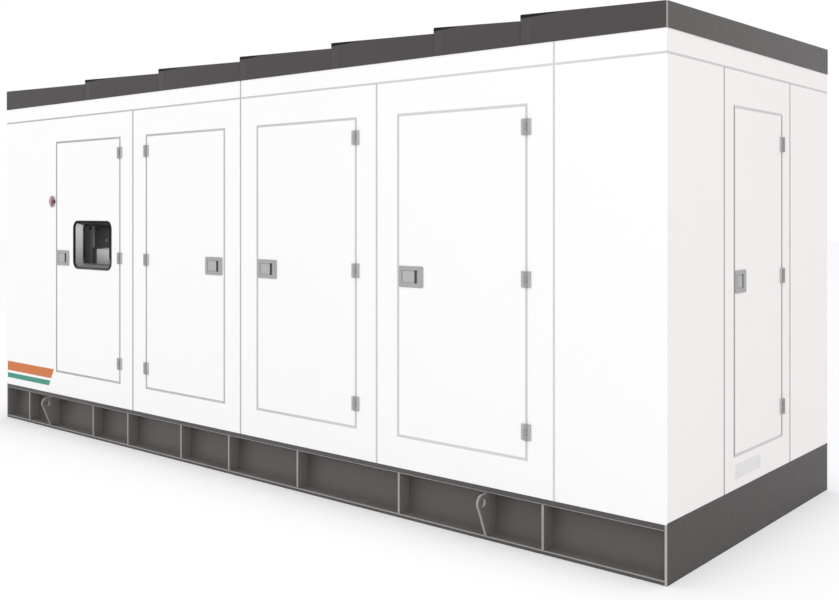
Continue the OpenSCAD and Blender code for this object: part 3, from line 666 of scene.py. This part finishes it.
panels = roofCorners()
laps, wedges = [], []
for i, (x0, x1, tallLeft, tallRight, tallBack) in enumerate(panels):
    made = roofPanel(f"roof_panel_{i + 1}", x0, x1, tallLeft, tallRight, tallBack, i == len(panels) - 1)
    if i == 0:
        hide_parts("roof_panels")
        continue
    fall = (tallLeft - tallRight) / (x1 - x0)
    start, foot = x0 + roof["edgeGap"], roofLow.z + roof["edgeGap"]
    for face, y, edge in ((-1, roofLow.y, tallLeft), (1, roofHigh.y, tallLeft + tallBack - tallRight)):
        end = x0 + roof["lapWidth"]
        high = edge - roof["lapDrop"]
        low = high - fall * roof["lapWidth"]
        laps.append(flatPlate([start, end, end, start], [foot, foot, low, high],
                              (y, y + face * roof["lapProud"])))
        # a near-black wedge along the top edge, over the lap: painted shade
        length = roof["wedgeLength"] * (x1 - x0)
        end = x0 + length
        high = edge - roof["wedgeDrop"]
        low = high - fall * length
        proud = roof["lapProud"] + roof["wedgeOver"]
        zs = [high - roof["wedgeHeight"], low - roof["wedgeTip"], low, high]
        wedges.append(flatPlate([start, end, end, start], zs, (y, y + face * proud)))
makePiece("roof_laps", "enclosure", laps, paints["roofLap"])
makePiece("roof_shade_wedges", "enclosure", wedges, paints["sealBlackAndShade"])
print("roof done")

# skid: flange plates carried along the length, their edges next to the web painted light as a highlight
skid = {
    "flange": 0.105,     # width of the channels' flanges
    "round": 0.006,
    "edgeRound": 0.0015,
    "lugRound": 0.0045,
    "beamRound": 0.003,
    "sillUp": 0.010,     # the end plates' folded tops lap this far over the foot of the end walls
    "sillDown": 0.001,
    "sillProud": 0.0012,
}


def flangeBar(side, x0, x1, low, high, highlightTop):
    # rounded section in depth and height, the corner by the web side's open edge painted light as a highlight
    (yLow, zLow), (yHigh, zHigh) = low, high
    oy, oz = roundedOutline(yHigh - yLow, zHigh - zLow, skid["round"], 4)
    ys, zs = (yLow + yHigh) / 2 + oy, (zLow + zHigh) / 2 + oz
    paint = np.zeros((1, len(ys)), int)
    midY, midZ = (ys + np.roll(ys, -1)) / 2, (zs + np.roll(zs, -1)) / 2
    outer = midY < yLow + skid["round"] if side < 0 else midY > yHigh - skid["round"]
    level = midZ > zHigh - skid["round"] if highlightTop else midZ < zLow + skid["round"]
    paint[0, outer & level & (abs(midZ - (zHigh if highlightTop else zLow)) > 1e-5)] = 1
    # the bottom flange's top face takes the lighter inner paint: painted light against its shade
    if highlightTop:
        paint[0, abs(midZ - zHigh) < 1e-5] = 2
    rows = np.stack([np.stack([np.full(len(ys), x), ys, zs], -1) for x in (x0, x1)])
    return barPart(rows, paint)


fLow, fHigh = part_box("skid_flanges")
webLow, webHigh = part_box("skid_webs")
bars = []
for side, y0, y1 in ((-1, fLow.y, fLow.y + skid["flange"]), (1, fHigh.y - skid["flange"], fHigh.y)):
    bars.append(flangeBar(side, fLow.x, fHigh.x, (y0, fLow.z), (y1, webLow.z), True))
    bars.append(flangeBar(side, fLow.x, fHigh.x, (y0, webHigh.z), (y1, fHigh.z), False))
made = makePiece("skid_flange_bars", "enclosure", bars,
                 [paints["skidFlange"], paints["skidEdgeHighlight"], paints["skidInnerLit"]])
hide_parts("skid_flanges")
softened("skid_webs", paints["skidDark"], 0)


def endPlateFaces(centres, normals):
    # the narrow outer edges are painted light as a highlight, the sides between the flanges painted lighter
    # against their shade
    inner = abs(normals[:, 0]) > 0.9
    inner &= abs(centres[:, 0]) < fHigh.x + 0.001
    return np.where(abs(normals[:, 1]) > 0.9, 1, np.where(inner, 2, 0))


def stiffenerFaces(centres, normals):
    # the outer edges are painted light as a highlight, the sides lighter against their shade
    return np.where(abs(normals[:, 1]) > 0.9, 1, 0)


def lugFaces(centres, normals):
    # the edges are painted light as a highlight, the flat sides lighter against their shade
    return np.where(abs(normals[:, 0]) < 0.5, 0, 1)


softened("skid_end_plates", [paints["skidEnd"], paints["skidCornerHighlight"], paints["skidInnerLit"]],
         skid["edgeRound"], choose=endPlateFaces)
softened("skid_stiffeners", [paints["skidInnerLit"], paints["skidEdgeHighlight"]], skid["edgeRound"],
         choose=stiffenerFaces)
softened("lifting_lugs", [paints["skidEdgeHighlight"], paints["skidInnerLit"]], skid["lugRound"], 3, 1,
         choose=lugFaces)
softened("floor_beams", paints["skidDark"], skid["beamRound"])
sills = [strip(wall, -half["right"] + inside, half["right"] - inside, shell["skid"] - skid["sillDown"],
               shell["skid"] + skid["sillUp"], -skid["sillProud"], inside) for wall in ("right", "left")]
makePiece("skid_end_sills", "enclosure", sills, paints["skidEnd"])
print("skid done")

# doors with their fittings
door = {
    "soft": 0.002,
    "sealOver": 0.004,    # the two halves of the seal lap the gap's edges by this
    "sealProud": 0.0009,
    "sealRoot": 0.0012,   # how far they reach into the gap
    "sealSlit": 0.0006,   # left open between the leaf's half and the doorway's
    "gasketThick": 0.0035,  # rubber on the stops
    "gasketWide": 0.6,    # of the stops' width
    "fittingRound": 0.0012,
    "trayDepth": 0.020,   # the latch's tray is painted darker from this depth on, as painted shade
    "knuckleProud": 0.0095,
    "pinOver": 0.0067,    # the paddle's pin reaches this far past its plate
    "lipGap": 0.0015,
    "lipProud": (0.0015, 0.0037),
    "lipPast": (0.004, 0.002),  # past the paddle on its left and on its right
    "plateProud": 0.004,
    "screw": 0.0042,
    "screwHead": 0.0022,
    "screwInset": 0.012,  # from the latch plate's edges
}


def edgeSeal(wall, doorway, start=-1.0, end=1.0):
    # low round bead over the gap: its height is proud * (1 - u^2), u from -1 on the wall to 1
    # on the leaf, for the part of it from start to end
    over = door["sealOver"]
    u = np.linspace(start, end, 7)
    root = min(max(0.0, start), end)
    cut = (np.append(u, root) + 1) * (shell["gap"] / 2 + over)
    depth = np.append(-door["sealProud"] * (1 - u ** 2), door["sealRoot"])
    rows = rectangles(wall, *shrunk(doorway, cut - over), depth)
    # the level runs take the first paint and the uprights the second, greys that are painted shade for the
    # gap
    return gridPart(rows, wrapRows=True, wrapCols=True, paint=[[0, 1, 0, 1]])


def screws(wall, places, face):
    # pan heads standing out of a face: radius and height follow a low dome
    r, h = door["screw"], door["screwHead"]
    head = turned(wall, 0, 0, [r, r, r * 0.82, r * 0.4], [0.001, -h * 0.45, -h * 0.9, -h], sides=12)
    return copiesOf(head, [onWall(wall, x, face, z) - onWall(wall, 0.0, 0.0, 0.0) for x, z in places])


def depthOf(centres):
    # how deep points lie below the nearest wall's outer face, negative if they stand proud of it
    return np.minimum(shell["halfWidth"] - abs(centres[:, 1]), shell["halfLength"] - abs(centres[:, 0]))


def trayFaces(centres, normals):
    return np.where(depthOf(centres) > door["trayDepth"], 1, 0)


def hingeFaces(centres, normals):
    # the knuckle stands out further than the leaves screwed to the wall
    return np.where(depthOf(centres) < -door["knuckleProud"], 1, 0)


hingePaints = [paints["hingeGrey"], paints["knuckleGrey"]]
beadPaints = {"front": [paints["sealLevel"], paints["sealUpright"]],
              "right": [paints["sealEndLevel"], paints["sealEndUpright"]]}
gaskets, beads = [], {"front": [], "right": [], "back": [], "left": []}
slit = door["sealSlit"] / (shell["gap"] + 2 * door["sealOver"])
for name, wall in leaves.items():
    softened(name, wallPaint[wall], door["soft"])
    softened(f"{name}_hinges", hingePaints, door["fittingRound"], choose=hingeFaces)
    softened(f"{name}_latch", [paints["fittingGrey"], paints["fittingTrayShade"]],
             door["fittingRound"], choose=trayFaces)
    softened(f"{name}_paddle", paints["paddleGrey"], door["fittingRound"])
    # the bead over the gap: the leaf's half rides with it, the other half stays on the doorway
    d0, d1, e0, e1 = doorways[name]
    makePiece(f"{name}_edge_seal", name, edgeSeal(wall, doorways[name], slit, 1.0),
              beadPaints[wall])
    beads[wall].append(edgeSeal(wall, doorways[name], -1.0, -slit))
    other = "back" if wall == "front" else "left"
    beads[other].append(edgeSeal(other, (-d1, -d0, e0, e1)))
    outer = shrunk(doorways[name], -inside)
    gaskets.append(framePart(wall, outer, shrunk(outer, shell["stopWidth"] * door["gasketWide"]),
                             shell["stopDepth"] + inside, shell["stopDepth"] - door["gasketThick"]))
    # lips above and below the paddle, and four screws in the latch plate
    x0, x1, z0, z1 = faceBox(f"{name}_paddle", wall)
    past, proud, pin = door["lipPast"], door["lipProud"], door["pinOver"] - door["lipGap"]
    lips = [strip(wall, x0 - past[0], x1 + past[1], *zs, -proud[1], -proud[0])
            for zs in ((z1 - pin, z1 + inside), (z0 - inside, z0 + pin))]
    makePiece(f"{name}_latch_lips", name, lips, paints["fittingGrey"])
    x0, x1, z0, z1 = shrunk(faceBox(f"{name}_latch", wall), door["screwInset"])
    places = [(x, z) for x in (x0, x1) for z in (z0, z1)]
    makePiece(f"{name}_latch_screws", name, screws(wall, places, -door["plateProud"]),
              paints["boltZinc"])
for name, wall, like in (("front_doorway_trims", "front", "front"), ("end_doorway_trim", "right", "right"),
                         ("back_door_beads", "back", "front"), ("left_door_beads", "left", "right")):
    makePiece(name, "enclosure", beads[wall], beadPaints[like])
makePiece("doorway_gaskets", "enclosure", gaskets, paints["sealBlackAndShade"])
for name in ("frame_hinges", "back_hinges"):
    softened(name, hingePaints, door["fittingRound"], choose=hingeFaces)
softened("back_latches", paints["fittingGrey"], door["fittingRound"])
print("doors done")

# window of the control door: rubber seal, glass, a deep grey reveal and its inner frame
window = {
    "lap": 0.012,         # the seal's lip over the door's face
    "corner": 0.055,      # radius of the opening's corners
    "slack": 0.0006,      # the reveal is this much smaller than the opening
    "revealThick": 0.003,
    "revealFront": 0.0145,
    "revealBack": 0.079,
    "taper": 0.022,
    "bend": 0.010,        # the reveal turns in this far before its back
    "blackAbove": 0.008,
    "frameCut": 0.009,
    "frameDeep": 0.008,
    "frameBehind": 0.002,
    # a black strip inside the window's right edge: painted shade
    "shadeStrip": 0.026,
    "shadeStripGap": 0.004,
    "shadeStripBelow": 0.108,
    "shadeStripAbove": 0.158,
    "shadeStripDepth": (0.0008, 0.0038),
    "round": 0.0006,      # of the glass's edges
}
lap, wr = window["lap"], window["corner"]
low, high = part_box("door_1_window_seal")
wx, wz = (low.x + high.x) / 2, (low.z + high.z) / 2
ww, wh = high.x - low.x - 2 * lap, high.z - low.z - 2 * lap


def windowStack(grow, depth, **kw):
    # a form round the window's outline, with a row for each growth and its depth
    return roundedStack("front", wx, wz, ww, wh, wr, grow, depth, wrapRows=True, **kw)


def sealTube():
    # section of the window seal: a round bulb over the door's face, a lip on the glass
    t = np.linspace(0, math.pi, 9)
    bulb = (lap / 2 - 0.001 + (lap / 2 + 0.001) * np.cos(t), -0.004 * np.sin(t) ** 0.8)
    lip = np.array([(-0.0080, 0.0005), (-0.0085, 0.0020), (-0.0085, 0.0036), (-0.0075, 0.0040),
                    (-0.006, 0.0040), (-0.006, 0.0100), (-0.0002, 0.0100), (-0.0002, 0.0138), (0.0, 0.0005)])
    return np.append(bulb[0], lip[:, 0]), np.append(bulb[1], lip[:, 1])


made = makePiece("window_seal_bulb", "door_1", windowStack(*sealTube()), paints["sealRing"],
                 sharp=60)
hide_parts("door_1_window_seal")
t, taper, front, back = window["revealThick"], window["taper"], window["revealFront"], window["revealBack"]
grow = -window["slack"] - np.array([0.0, 0.0, t, t + taper, t + taper, taper])
depth = np.array([back - window["bend"], front, front, back - 0.001, back, back])
outline = np.array(roundedOutline(ww, wh, wr))
# the reveal's top, within blackAbove of its upper edge, takes the near-black paint: painted shade
upper = (outline[1] + np.roll(outline[1], -1)) / 2 > wh / 2 - window["blackAbove"]
makePiece("window_reveal", "door_1", windowStack(grow, depth, paint=upper[None].astype(int)),
          [paints["revealGrey"], paints["revealTopShade"]])
outer = -window["slack"] - t - taper
grow = [outer, outer, outer - window["frameCut"], outer - window["frameCut"]]
front, back = back - window["frameDeep"], back + window["frameBehind"]
makePiece("window_inner_frame", "door_1", windowStack(grow, [back, front, front, back]),
          paints["sealFrame"])
# a black strip inside the window's right edge, standing in for the shaded inner side of the seal: painted
# shade
x = wx + ww / 2
shadeStrip = strip("front", x - window["shadeStrip"], x - window["shadeStripGap"], wz - window["shadeStripBelow"],
              wz + window["shadeStripAbove"], *window["shadeStripDepth"])
makePiece("window_side_shade_strip", "door_1", shadeStrip, paints["sealBlackAndShade"], bevel=0.001)


def glassFinish():
    # clear pane: mostly see-through, its gloss on the shader's own sockets
    mat, tree, shader, coords = blankMaterial("windowGlass")
    shader.inputs["Base Color"].default_value = (0.02, 0.022, 0.023, 1)
    shader.inputs["Alpha"].default_value = 0.04
    shader.inputs["IOR"].default_value = 1.5
    tree.links.new(ranged(tree, noiseOf(tree, coords, 3.0), 0.02, 0.05), shader.inputs["Roughness"])
    return mat


softened("door_1_glass", glassFinish(), window["round"])

# emergency stop: a dished plate, a low collar and a domed button
stop = {
    "plateRadius": 0.052,
    "collarRadius": 0.041,
    "headRadius": 0.033,
    "stemRadius": 0.009,
    "plateProud": 0.005,
    "collarProud": 0.0092,
    "under": 0.0142,      # underside of the head
    "proud": 0.0258,
    "shadePatch": (0.0435, 0.018, 0.031, 0.008),  # dark red patch of painted shade: right of the middle, width, height and corner
}
low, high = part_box("stop_plate")
sx, sz = (low.x + high.x) / 2, (low.z + high.z) / 2
r, c, q = stop["plateRadius"], stop["collarRadius"], stop["stemRadius"] + inside
flat, ridge = stop["plateProud"], stop["collarProud"]
plate = turned("front", sx, sz, [r, r, r - 0.001, r - 0.007, c, c - 0.004, q + 0.002, q, q],
               [0.0, 0.001 - flat, -flat, -flat, -0.0085, -ridge, -ridge, -0.0085, 0.0], sides=48)
made = makePiece("stop_collar_plate", "enclosure", plate, paints["stopGrey"], sharp=30)
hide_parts("stop_plate")
# a dark red patch on the collar, right of the button: painted shade for the button's shaded side
right, width, height, corner = stop["shadePatch"]
shadePatch = roundedStack("front", sx + right, sz, width, height, corner, [0, 0, -0.001],
                   [-0.0035, -ridge, -0.0008 - ridge], caps=True)
makePiece("stop_side_shade", "enclosure", shadePatch, paints["stopShadeRed"])
# the head's outline: a quarter ellipse from its rim to the middle of its face
r, q, under = stop["headRadius"], stop["stemRadius"], stop["under"]
t = np.linspace(0.1, math.pi / 2 - 0.05, 9)
radii = np.concatenate([[q * 0.9, q, q, r - 0.002, r], r * np.cos(t)])
depths = np.concatenate([[-0.0048, -0.0052, -under, -under, -under - 0.001],
                         -under - 0.001 - (stop["proud"] - under - 0.001) * np.sin(t)])
button = turned("front", sx, sz, radii, depths, sides=48)
made = makePiece("stop_dome", "stop_button", button, paints["stopRed"], sharp=40)
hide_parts("stop_button")

# control cabinet behind the window
cabinet = {
    "round": 0.003,
    "panelRound": 0.002,
    "sunk": 0.001,        # how far covers and buttons reach into what they stand on
    "doorInset": 0.018,
    "doorThick": 0.003,
    "doorBelow": 0.03,    # its top edge is this far below the relay box
    "shadeSheetWidth": 0.156,
    "shadeSheetBelow": 0.02,
    "shadeSheetThick": 0.002,
    "knobAside": (0.075, 0.06),   # left of the panel, and in from the cabinet's right side
    "knobDown": (0.085, 0.195),   # below the panel's top
    "display": (0.10, 0.30, 0.06, 0.19),  # from the panel's left side and down from its top
    "displayThick": 0.0012,
    "keys": (0.36, 0.08),
    "keyStep": (0.04, 0.045),
    "lamp": (0.190, 0.066),       # from the panel's left side and up from its bottom
    "lidInset": 0.008,
    "lidThick": 0.0025,
}
sunk = cabinet["sunk"]
softened("control_cabinet", paints["cabinetGrey"], cabinet["round"])
softened("control_panel", paints["panelBlack"], cabinet["panelRound"])
# the relay box's left side takes the dark paint: painted shade
softened("relay_box", [paints["relayGrey"], paints["relaySideShade"]], cabinet["round"],
         choose=lambda centres, normals: np.where(normals[:, 0] < -0.9, 1, 0))
cl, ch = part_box("control_cabinet")
pl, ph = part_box("control_panel")
rl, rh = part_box("relay_box")
face, panelFace, relayFace = (low.y + shell["halfWidth"] for low in (cl, pl, rl))


def cover(x0, x1, z0, z1, depth, thick):
    return strip("front", x0, x1, z0, z1, depth - thick, depth + sunk)


doorInset, below = cabinet["doorInset"], rl.z - cabinet["doorBelow"]
makePiece("cabinet_lower_door", "enclosure",
          cover(cl.x + doorInset, ch.x - doorInset, cl.z + doorInset, below, face, cabinet["doorThick"]),
          paints["cabinetGrey"], bevel=0.001)
aside, down = cabinet["knobAside"], cabinet["knobDown"]
knob = turned("front", 0, 0, [0.011, 0.011, 0.009, 0.004], [0.002, -0.012, -0.016, -0.017], sides=20)
knobs = copiesOf(knob, [(pl.x - aside[0], face, ph.z - down[0]), (pl.x - aside[0], face, ph.z - down[1]),
                        (ch.x - aside[1], face, (cl.z + below) / 2)])
makePiece("cabinet_knobs", "enclosure", knobs, paints["sealBlackAndShade"])
left, right, high, low = cabinet["display"]
makePiece("panel_display", "enclosure",
          cover(pl.x + left, pl.x + right, ph.z - low, ph.z - high, panelFace, cabinet["displayThick"]),
          paints["displayGreen"], bevel=0.0005)
key = turned("front", 0, 0, [0.0085, 0.0085, 0.0075, 0.003], [sunk, -0.0025, -0.0035, -0.0038], sides=20)
(left, down), (across, drop) = cabinet["keys"], cabinet["keyStep"]
keys = copiesOf(key, [(pl.x + left + across * i, panelFace, ph.z - down - drop * j)
                      for i in range(4) for j in range(3)])
makePiece("panel_keys", "enclosure", keys, paints["cabinetGrey"])
lamp = turned("front", 0, 0, [0.008, 0.008, 0.006, 0.002], [sunk, -0.003, -0.005, -0.006], sides=20)
left, up = cabinet["lamp"]
makePiece("panel_lamp", "enclosure", copiesOf(lamp, [(pl.x + left, panelFace, pl.z + up)]),
          paints["lampWhite"])
# a dark sheet on the cabinet's front, left of the relay box: painted shade over the light that falls there
# through the window
makePiece("cabinet_shade_sheet", "enclosure",
          cover(rl.x - cabinet["shadeSheetWidth"], rl.x - 0.001, rl.z - cabinet["shadeSheetBelow"], pl.z - 0.002, face,
                cabinet["shadeSheetThick"]), paints["cabinetShadeGrey"])
makePiece("relay_lid", "enclosure",
          cover(*shrunk((rl.x, rh.x, rl.z, rh.z), cabinet["lidInset"]), relayFace, cabinet["lidThick"]),
          paints["relayGrey"], bevel=0.0008)
print("control end done")

# sound lining: perforated sheets on the inner faces of the walls, roof and doors
lining = {
    "thick": 0.0015,
    "edge": 0.014,       # it stops this far inside the doorway stops' edge
    "gap": 0.002,
    "pitch": 0.012,      # of the holes
    "leafDepth": 0.075,
    "leafInset": 0.020,
    "windowGap": 0.012,
}


def perforatedFinish(name, across):
    # round holes on a square grid: distance to the nearest grid point, the axis across the sheet left out
    mat, tree, shader, coords = blankMaterial(name)
    scale = [1 / lining["pitch"]] * 3
    scale[across] = 0.0
    mapping = node(tree, "ShaderNodeMapping", Scale=scale)
    tree.links.new(coords, mapping.inputs["Vector"])
    cells = node(tree, "ShaderNodeTexVoronoi", Scale=1.0, Randomness=0.0)
    tree.links.new(mapping.outputs["Vector"], cells.inputs["Vector"])
    hole = ranged(tree, cells.outputs["Distance"], 0, 1, 0.24, 0.30)
    tree.links.new(mixed(tree, hole, (0.05, 0.05, 0.05), (0.50, 0.505, 0.51)), shader.inputs["Base Color"])
    tree.links.new(ranged(tree, hole, 0.85, 0.38, 0, 1), shader.inputs["Roughness"])
    tree.links.new(bumped(tree, hole, 0.4, 0.001), shader.inputs["Normal"])
    shader.inputs["Metallic"].default_value = 0.25
    return mat


perforated = {axis: perforatedFinish("perforated" + axis.upper(), i) for i, axis in enumerate("xyz")}


def liningSheet(wall, x0, x1, z0, z1, doorway=None):
    near, far = shell["wall"], shell["wall"] + lining["thick"]
    if not doorway:
        return strip(wall, x0, x1, z0, z1, near - inside, far)
    return framePart(wall, (x0, x1, z0, z1), shrunk(doorway, shell["stopWidth"] - lining["edge"]), near, far)


gap, back = lining["gap"], shell["wall"] + lining["thick"]
farX, farY = half["front"] - back, half["right"] - back
z0, z1 = shell["skid"] + gap, shell["roof"] - gap
sheets = [liningSheet("front", -farX if i == 0 else bayEdges[i] + gap, bayEdges[i + 1] - gap, z0, z1,
                      doorways[f"door_{i + 1}"]) for i in range(4)]
sheets.append(liningSheet("front", seams[3] + gap, farX, z0, z1))
sheets.append(liningSheet("back", -farX, farX, z0, z1))
makePiece("side_wall_lining", "enclosure", sheets, perforated["y"])
sheets = [liningSheet("right", -farY, farY, z0, z1, doorways["end_door"]),
          liningSheet("left", -farY, farY, z0, z1)]
makePiece("end_wall_lining", "enclosure", sheets, perforated["x"])
ceiling = np.array([[-farX, -farY], [farX, -farY], [farX, farY], [-farX, farY]])
rows = np.stack([np.column_stack([ceiling, np.full(4, z)])
                 for z in (shell["roof"] - lining["thick"], shell["roof"] + inside)])
makePiece("roof_lining", "enclosure", barPart(rows), perforated["z"])
for name, wall in leaves.items():
    rect = shrunk(doorways[name], shell["stopWidth"] + shell["gap"] + lining["leafInset"])
    near, far = lining["leafDepth"] - inside, lining["leafDepth"] + lining["thick"]
    part = strip(wall, *rect, near, far)
    if name == "door_1":
        hole = shrunk((wx - ww / 2, wx + ww / 2, wz - wh / 2, wz + wh / 2), -lining["windowGap"])
        part = framePart(wall, rect, hole, near, far)
    makePiece(f"{name}_lining", name, part, perforated["y" if wall == "front" else "x"])


tread = {"pitch": 0.042, "stretch": 3.4, "height": 0.0015}


def treadFinish():
    # checker plate: a low bar in every cell, turned a quarter from one cell to the next;
    # each set of bars is the stretched distance to the points of a turned grid
    mat, tree, shader, coords = blankMaterial("treadPlate")
    scale = (1 / tread["pitch"], 1 / tread["pitch"], 0)
    heights = []
    for shift, along in ((0.0, 1), (0.5, -1)):
        mapping = node(tree, "ShaderNodeMapping", Rotation=(0, 0, math.pi / 4), Scale=scale,
                       Location=(shift, shift, 0))
        tree.links.new(coords, mapping.inputs["Vector"])
        cells = node(tree, "ShaderNodeTexVoronoi", Scale=1.0, Randomness=0.0)
        tree.links.new(mapping.outputs["Vector"], cells.inputs["Vector"])
        offset = worked(tree, "ShaderNodeVectorMath", "SUBTRACT", mapping.outputs["Vector"],
                        cells.outputs["Position"])
        turn = node(tree, "ShaderNodeMapping", Rotation=(0, 0, along * math.pi / 4))
        tree.links.new(offset, turn.inputs["Vector"])
        squeeze = worked(tree, "ShaderNodeVectorMath", "MULTIPLY", turn.outputs["Vector"],
                         (1.0, tread["stretch"], 0.0))
        size = worked(tree, "ShaderNodeVectorMath", "LENGTH", squeeze)
        heights.append(ranged(tree, size, 1.0, 0.0, 0.26, 0.36))
    bars = worked(tree, "ShaderNodeMath", "MAXIMUM", *heights)
    worn = mixed(tree, bars, (0.075, 0.072, 0.070), (0.16, 0.155, 0.15))
    tree.links.new(worn, shader.inputs["Base Color"])
    tree.links.new(ranged(tree, noiseOf(tree, coords, 4.0), 0.42, 0.60), shader.inputs["Roughness"])
    tree.links.new(bumped(tree, bars, 0.7, tread["height"]), shader.inputs["Normal"])
    return mat


softened("floor_deck", treadFinish(), 0)
print("inside done")

# bare plate under the end door
endPlate = {
    "y": -0.165,
    "z": 0.422,
    "width": 0.37,
    "height": 0.086,
    "corner": 0.012,
    "thick": 0.0012,
    "rivetInset": 0.010,
}
py, pz = endPlate["y"], endPlate["z"]
plate = roundedStack("right", py, pz, endPlate["width"], endPlate["height"], endPlate["corner"],
                     [0, 0, -0.001], [inside, -0.0008, -endPlate["thick"]], caps=True)
makePiece("end_blank_plate", "enclosure", plate, paints["plateWhite"])
rivet = turned("right", 0, 0, [0.003, 0.003, 0.002, 0.001], [0.001, -0.0018, -0.0026, -0.0028], sides=12)
reach = endPlate["width"] / 2 - endPlate["rivetInset"]
makePiece("end_plate_rivets", "enclosure",
          copiesOf(rivet, [(0, py - reach, pz), (0, py + reach, pz)]), paints["boltZinc"])

# plain stripes low on the control end, their right ends slanted
stripes = {
    "left": -3.345,
    "right": -2.62,
    "foot": 0.375,
    "space": 0.022,
    "slant": 0.55,
    "thick": 0.0004,
    "inside": 0.0003,
    "heights": {"green": 0.045, "orange": 0.085},
    "finishes": {"green": "accentGreen", "orange": "accentOrange"},
}
x, z = stripes["right"], stripes["foot"]
for name, tall in stripes["heights"].items():
    xs = np.array([stripes["left"], x, x + stripes["slant"] * tall, stripes["left"]])
    zs = np.array([z, z, z + tall, z + tall])
    rows = np.stack([onWall("front", xs, depth, zs) for depth in (stripes["inside"], -stripes["thick"])])
    makePiece(f"stripe_{name}", "enclosure", barPart(rows),
              paints[stripes["finishes"][name]])
    x += stripes["slant"] * (tall + stripes["space"])
    z += tall + stripes["space"]
print("trim done")

# studio: floor, world, lamps and camera
studio = {
    "worldStrength": 0.88,
    "floorColour": (0.80, 0.80, 0.80),
    "floorGlow": 0.25,
    "floorReach": 60,
    "floorDrop": 0.0005,
    "keyPower": 2350.0,
    "keySize": 10.0,
    "keyPlace": (15.0, -27.0, 12.0),
    "keyAim": (0.0, -1.0, 1.4),
}
cameraSettings = {
    "place": (5.781, -6.027, 1.9263),
    "look": (-0.64586, 0.76345, 0.0),
    "lens": 43.948,
    "shiftY": -0.10614,
}

mesh = bpy.data.meshes.new("floor")
reach = studio["floorReach"]
mesh.from_pydata([(-reach, -reach, 0), (reach, -reach, 0), (reach, reach, 0), (-reach, reach, 0)], [],
                 [(0, 1, 2, 3)])
floor = linked("floor", mesh)
floor.location.z = -studio["floorDrop"]


def seenDirectly(tree):
    # 1 for rays from the camera, from gloss and through glass, and 0 for the light that falls on things
    path = tree.nodes.new("ShaderNodeLightPath").outputs
    seen = worked(tree, "ShaderNodeMath", "MAXIMUM", path["Is Camera Ray"], path["Is Glossy Ray"])
    return worked(tree, "ShaderNodeMath", "MAXIMUM", seen, path["Is Transmission Ray"])


mat = bpy.data.materials.new("studioFloor")
mat.use_nodes = True
tree = mat.node_tree
tree.nodes.clear()
out = tree.nodes.new("ShaderNodeOutputMaterial")
diffuse = node(tree, "ShaderNodeBsdfDiffuse", Color=studio["floorColour"] + (1,))
glow = tree.nodes.new("ShaderNodeEmission")
strength = worked(tree, "ShaderNodeMath", "MULTIPLY", seenDirectly(tree), studio["floorGlow"])
tree.links.new(strength, glow.inputs["Strength"])
adding = tree.nodes.new("ShaderNodeAddShader")
tree.links.new(diffuse.outputs[0], adding.inputs[0])
tree.links.new(glow.outputs[0], adding.inputs[1])
tree.links.new(adding.outputs[0], out.inputs["Surface"])
mesh.materials.append(mat)

world = bpy.data.worlds.new("studio")
bpy.context.scene.world = world
world.use_nodes = True
tree = world.node_tree
tree.nodes.clear()
out = tree.nodes.new("ShaderNodeOutputWorld")
background = node(tree, "ShaderNodeBackground", Color=(1, 1, 1, 1))
strength = ranged(tree, seenDirectly(tree), studio["worldStrength"], 1.0, 0.0, 1.0)
tree.links.new(strength, background.inputs["Strength"])
tree.links.new(background.outputs[0], out.inputs["Surface"])


def areaLamp(name, place, aim, size, power):
    data = bpy.data.lights.new(name, "AREA")
    data.shape = "SQUARE"
    data.size = size
    data.energy = power
    lamp = linked(name, data)
    lamp.location = place
    lamp.rotation_euler = (Vector(aim) - Vector(place)).to_track_quat("-Z", "Y").to_euler()
    return lamp


key = areaLamp("keyLamp", studio["keyPlace"], studio["keyAim"], studio["keySize"], studio["keyPower"])

data = bpy.data.cameras.new("camera")
data.lens = cameraSettings["lens"]
data.sensor_width = 36.0
data.shift_y = cameraSettings["shiftY"]
data.clip_end = 200
camera = linked("camera", data)
camera.location = cameraSettings["place"]
camera.rotation_euler = Vector(cameraSettings["look"]).to_track_quat("-Z", "Y").to_euler()
bpy.context.scene.camera = camera
bpy.context.scene.view_settings.view_transform = "Standard"

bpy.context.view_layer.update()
